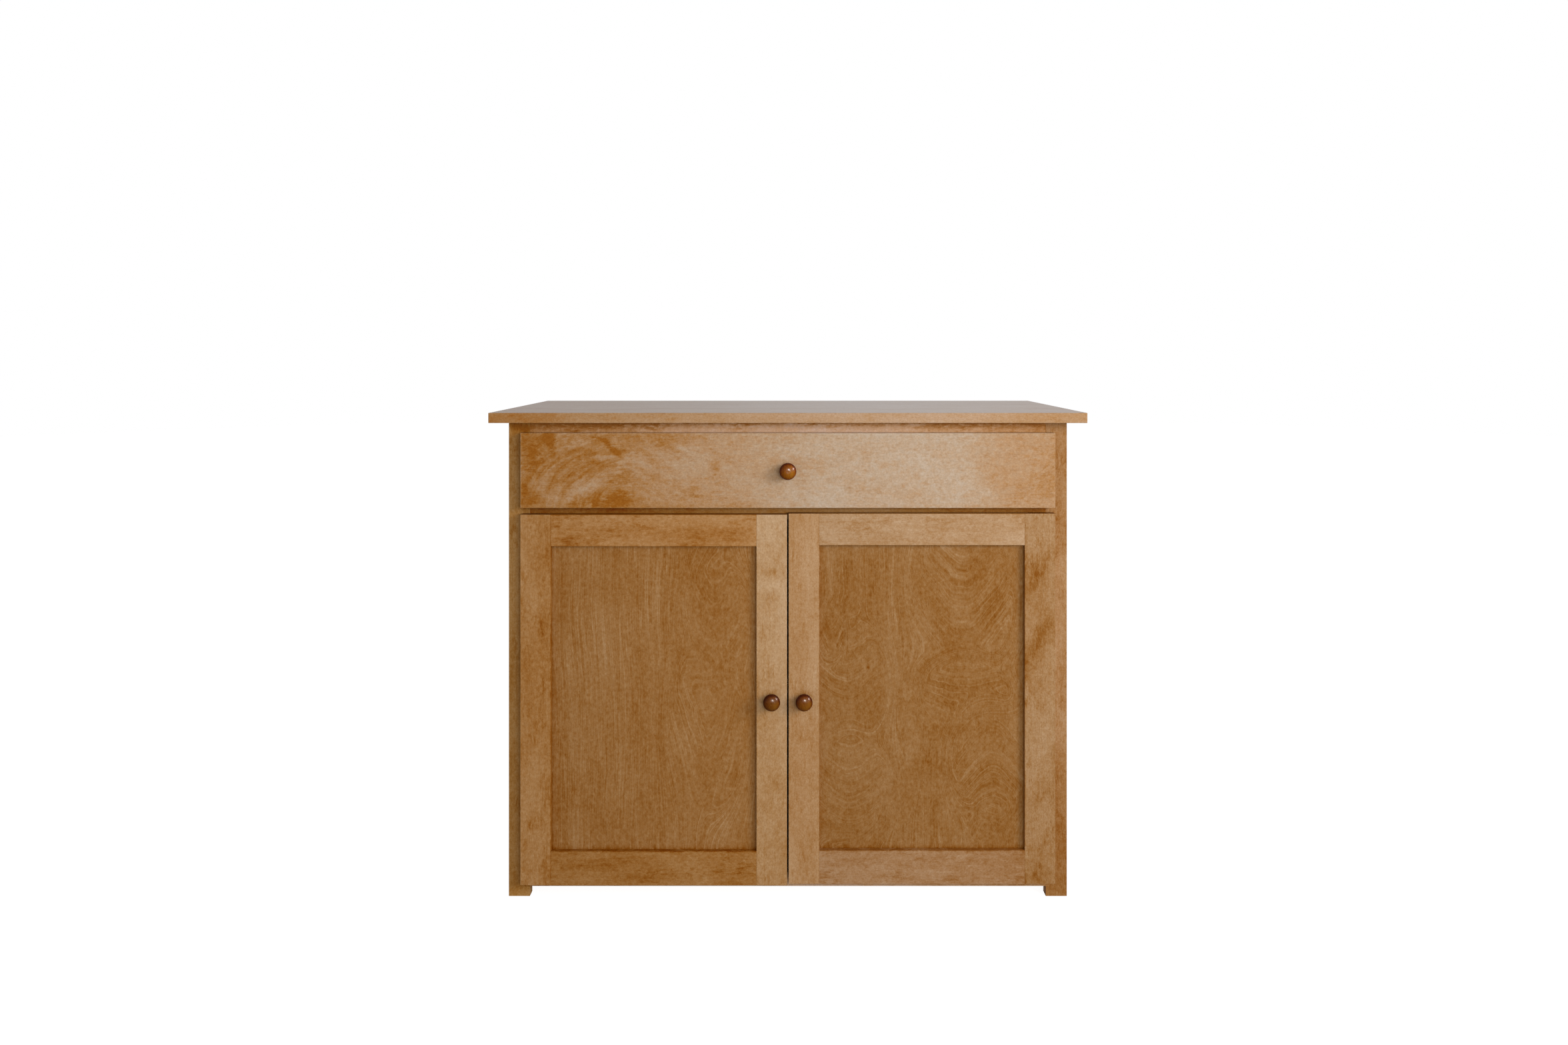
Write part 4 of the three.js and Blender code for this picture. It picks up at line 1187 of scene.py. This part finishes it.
# Turned knobs, finer than their solids and with the same profile
KNOB_NECK = 7.5 * MM
KNOB_NECK_HEIGHT = 5 * MM
KNOB_WIDEST_HEIGHT = 15.5 * MM
KNOB_DIMPLE = 2.4 * MM
KNOB_DIMPLE_FLAT = 0.6 * KNOB_DIMPLE
KNOB_DIMPLE_DEPTH = 0.12 * MM
KNOB_BASE = 9.5 * MM
KNOB_LIP = 0.4 * MM
KNOB_LIP_TURN = 0.6 * MM
CURVE_STEPS = {"neck": 8, "shoulder": 14, "crown": 18, "dimple": 8, "screw_head": 6}


def curve(points, steps):
    """Points along a Bezier curve of any order."""
    found = []
    for step in range(1, steps + 1):
        row = [Vector(point) for point in points]
        while len(row) > 1:
            row = [first.lerp(second, step / steps) for first, second in zip(row, row[1:])]
        found.append(tuple(row[0]))
    return found


def knob_profile(widest, reach):
    shoulder = (KNOB_NECK_HEIGHT + KNOB_WIDEST_HEIGHT) / 2
    crown = (KNOB_WIDEST_HEIGHT + reach) / 2
    dimple = reach - KNOB_DIMPLE_DEPTH
    profile = [(0, 0), (KNOB_BASE, 0), (KNOB_BASE, KNOB_LIP)]
    for name, onward in (
        ("neck", [(KNOB_NECK, KNOB_LIP_TURN), (KNOB_NECK, KNOB_NECK_HEIGHT)]),
        ("shoulder", [(KNOB_NECK, shoulder), (widest, shoulder), (widest, KNOB_WIDEST_HEIGHT)]),
        ("crown", [(widest, crown), ((widest + KNOB_DIMPLE) / 2, reach), (KNOB_DIMPLE, reach)]),
        ("dimple", [(KNOB_DIMPLE_FLAT, reach), (KNOB_DIMPLE_FLAT, dimple), (0, dimple)]),
    ):
        profile += curve([profile[-1], *onward], CURVE_STEPS[name])
    return profile


FRONTWARDS = (0, -1, 0)
BACKWARDS = (0, 1, 0)
KNOB_BODIES = {"drawer_knob": "drawer", "left_door_knob": "left_door", "right_door_knob": "right_door"}
SHANK = 2.1 * MM
SHANK_TIP = 0.8 * SHANK
SHANK_CHAMFER = 0.5 * MM
HEAD_HEIGHT = 2.5 * MM
HEAD_RIM = 0.3 * HEAD_HEIGHT
HEAD_CROSS_REACH = 0.6
HEAD_CROSS_DEPTH = 1.6 * MM
CUTTER_OVERRUN = 1 * MM
HEAD_SPIN = 0.4


def machine_screw(head, length):
    """A machine screw with a domed head, from the tip of its shank to the top of its head."""
    under_head = length - HEAD_HEIGHT
    profile = [(0, 0), (SHANK_TIP, 0), (SHANK, SHANK_CHAMFER), (SHANK, under_head), (head, under_head),
               (head, under_head + HEAD_RIM)]
    crown = [profile[-1], (head, length), (head / 2, length), (0, length)]
    profile += curve(crown, CURVE_STEPS["screw_head"])
    cross = cross_cutter(HEAD_CROSS_REACH * head, CROSS_WIDTH * head, length + CUTTER_OVERRUN,
                         CUTTER_OVERRUN + HEAD_CROSS_DEPTH)
    return carved(turn(profile, FACETS["machine_screw"]), cross)


for node, body in KNOB_BODIES.items():
    low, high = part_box(node)
    foot = Vector(((low.x + high.x) / 2, high.y, (low.z + high.z) / 2))
    mesh = turn(knob_profile((high.x - low.x) / 2, high.y - low.y), FACETS["knob"])
    wood = turned_wood(node, KNOB_SHADE[node])
    knob = assemble(f"{node}_turned", [(mesh, stand(foot, FRONTWARDS))], wood, body)
    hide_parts(node)
    KNOBS.objects.link(knob)

    low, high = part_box(f"{node}_screw")
    tip = Vector((foot.x, low.y, foot.z))
    parts = [(machine_screw((high.x - low.x) / 2, high.y - low.y), stand(tip, BACKWARDS, HEAD_SPIN))]
    screw = assemble(f"{node}_machine_screw", parts, STEEL, body)
    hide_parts(f"{node}_screw")

# Screws, bumpers and brads
CUP_SCREW_SPACING = 23.5 * MM
BASE_SCREW_SPACING = 8.6 * MM
SLIDE_WEB = 1.2 * MM
SLIDE_SCREW_PLACES = (0.08, 0.42, 0.9)
BUMPER_FROM_SIDE = 11 * MM
BUMPER_FROM_TOP = 6.2 * MM
BUMPER_FROM_BOTTOM = 5.6 * MM
FRONT_SCREW_PLACES = (-0.36, -0.13, 0.13, 0.36)
FRONT_SCREW_FROM_BOTTOM = 28 * MM
FRONT_SCREW_FROM_TOP = 16 * MM
BRAD_INSET = 5 * MM
BRAD_FROM_TOP = 9 * MM
BRAD_GAPS = 7
SMALL_SCREW = pan_screw(radius=3.2 * MM, height=1.1 * MM)
BASE_SCREW = pan_screw(radius=2.6 * MM, height=0.9 * MM)
SLIDE_SCREW = pan_screw(radius=3.4 * MM, height=1.6 * MM)
BUMPER = turn(dome(radius=4 * MM, height=2.2 * MM, foot=1.2 * MM), FACETS["bumper"])
BRAD = turn(dome(radius=1.1 * MM, height=0.3 * MM), FACETS["brad"])
BUMPER_RUBBER = rubber("bumper_rubber", (0.30, 0.27, 0.22))


def fasten(name, mesh, rows, direction, body, material=STEEL):
    """One piece of equal fasteners, from rows of x, y, z and spin."""
    parts = [(mesh, stand((x, y, z), direction, spin)) for x, y, z, spin in rows]
    assemble(name, parts, material, body)


def rubber_feet(name, places, body):
    rows = [(x, fronts_back, z, 0) for x, z in places]
    fasten(name, BUMPER, rows, BACKWARDS, body, BUMPER_RUBBER)


for side, mirror in SIDES:
    cup_screws = []
    base_screws = []
    for level in LEVELS:
        cup_low, cup_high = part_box(f"{side}_{level}_hinge_cup")
        cup = (cup_low + cup_high) / 2
        low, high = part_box(f"{side}_{level}_hinge_base")
        face = low.x if mirror > 0 else high.x
        base = (low + high) / 2
        for offset in (-1, 1):
            cup_screws.append((cup.x, cup_high.y, cup.z + offset * CUP_SCREW_SPACING, 0.5 + offset))
            base_screws.append((face, base.y, base.z + offset * BASE_SCREW_SPACING, 0.8 * offset))
    fasten(f"{side}_cup_screws", SMALL_SCREW, cup_screws, BACKWARDS, f"{side}_door")
    fasten(f"{side}_hinge_base_screws", BASE_SCREW, base_screws, (-mirror, 0, 0), "case")

    low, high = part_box(f"{side}_slide_drawer_member")
    web = low.x + SLIDE_WEB if mirror > 0 else high.x - SLIDE_WEB
    middle = (low.z + high.z) / 2
    rows = [(web, low.y + share * (high.y - low.y), middle, share) for share in SLIDE_SCREW_PLACES]
    fasten(f"{side}_slide_screws", SLIDE_SCREW, rows, (mirror, 0, 0), "drawer")

    low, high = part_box(f"{side}_door_lock_stile")
    x = high.x - BUMPER_FROM_SIDE if mirror < 0 else low.x + BUMPER_FROM_SIDE
    places = [(x, high.z - BUMPER_FROM_TOP), (x, low.z + BUMPER_FROM_BOTTOM)]
    rubber_feet(f"{side}_door_bumpers", places, f"{side}_door")

inset = BUMPER_FROM_TOP
places = [(x, z) for x in (drawer_low.x + inset, drawer_high.x - inset)
          for z in (drawer_low.z + inset, drawer_high.z - inset)]
rubber_feet("drawer_bumpers", places, "drawer")

low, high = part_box("drawer_box_front")
rows = [(x, high.y, z, 7 * x + z) for x in FRONT_SCREW_PLACES
        for z in (low.z + FRONT_SCREW_FROM_BOTTOM, high.z - FRONT_SCREW_FROM_TOP)]
fasten("drawer_front_screws", SLIDE_SCREW, rows, BACKWARDS, "drawer")

low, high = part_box("back_panel")
left, right = low.x + BRAD_INSET, high.x - BRAD_INSET
bottom, top = low.z + BRAD_INSET, high.z - BRAD_INSET
rows = []
for step in range(BRAD_GAPS + 1):
    x = left + (right - left) * step / BRAD_GAPS
    rows += [(x, high.y, bottom, 0), (x, high.y, high.z - BRAD_FROM_TOP, 0)]
for step in range(1, BRAD_GAPS):
    z = bottom + (top - bottom) * step / BRAD_GAPS
    rows += [(left, high.y, z, 0), (right, high.y, z, 0)]
fasten("back_panel_brads", BRAD, rows, BACKWARDS, "case")
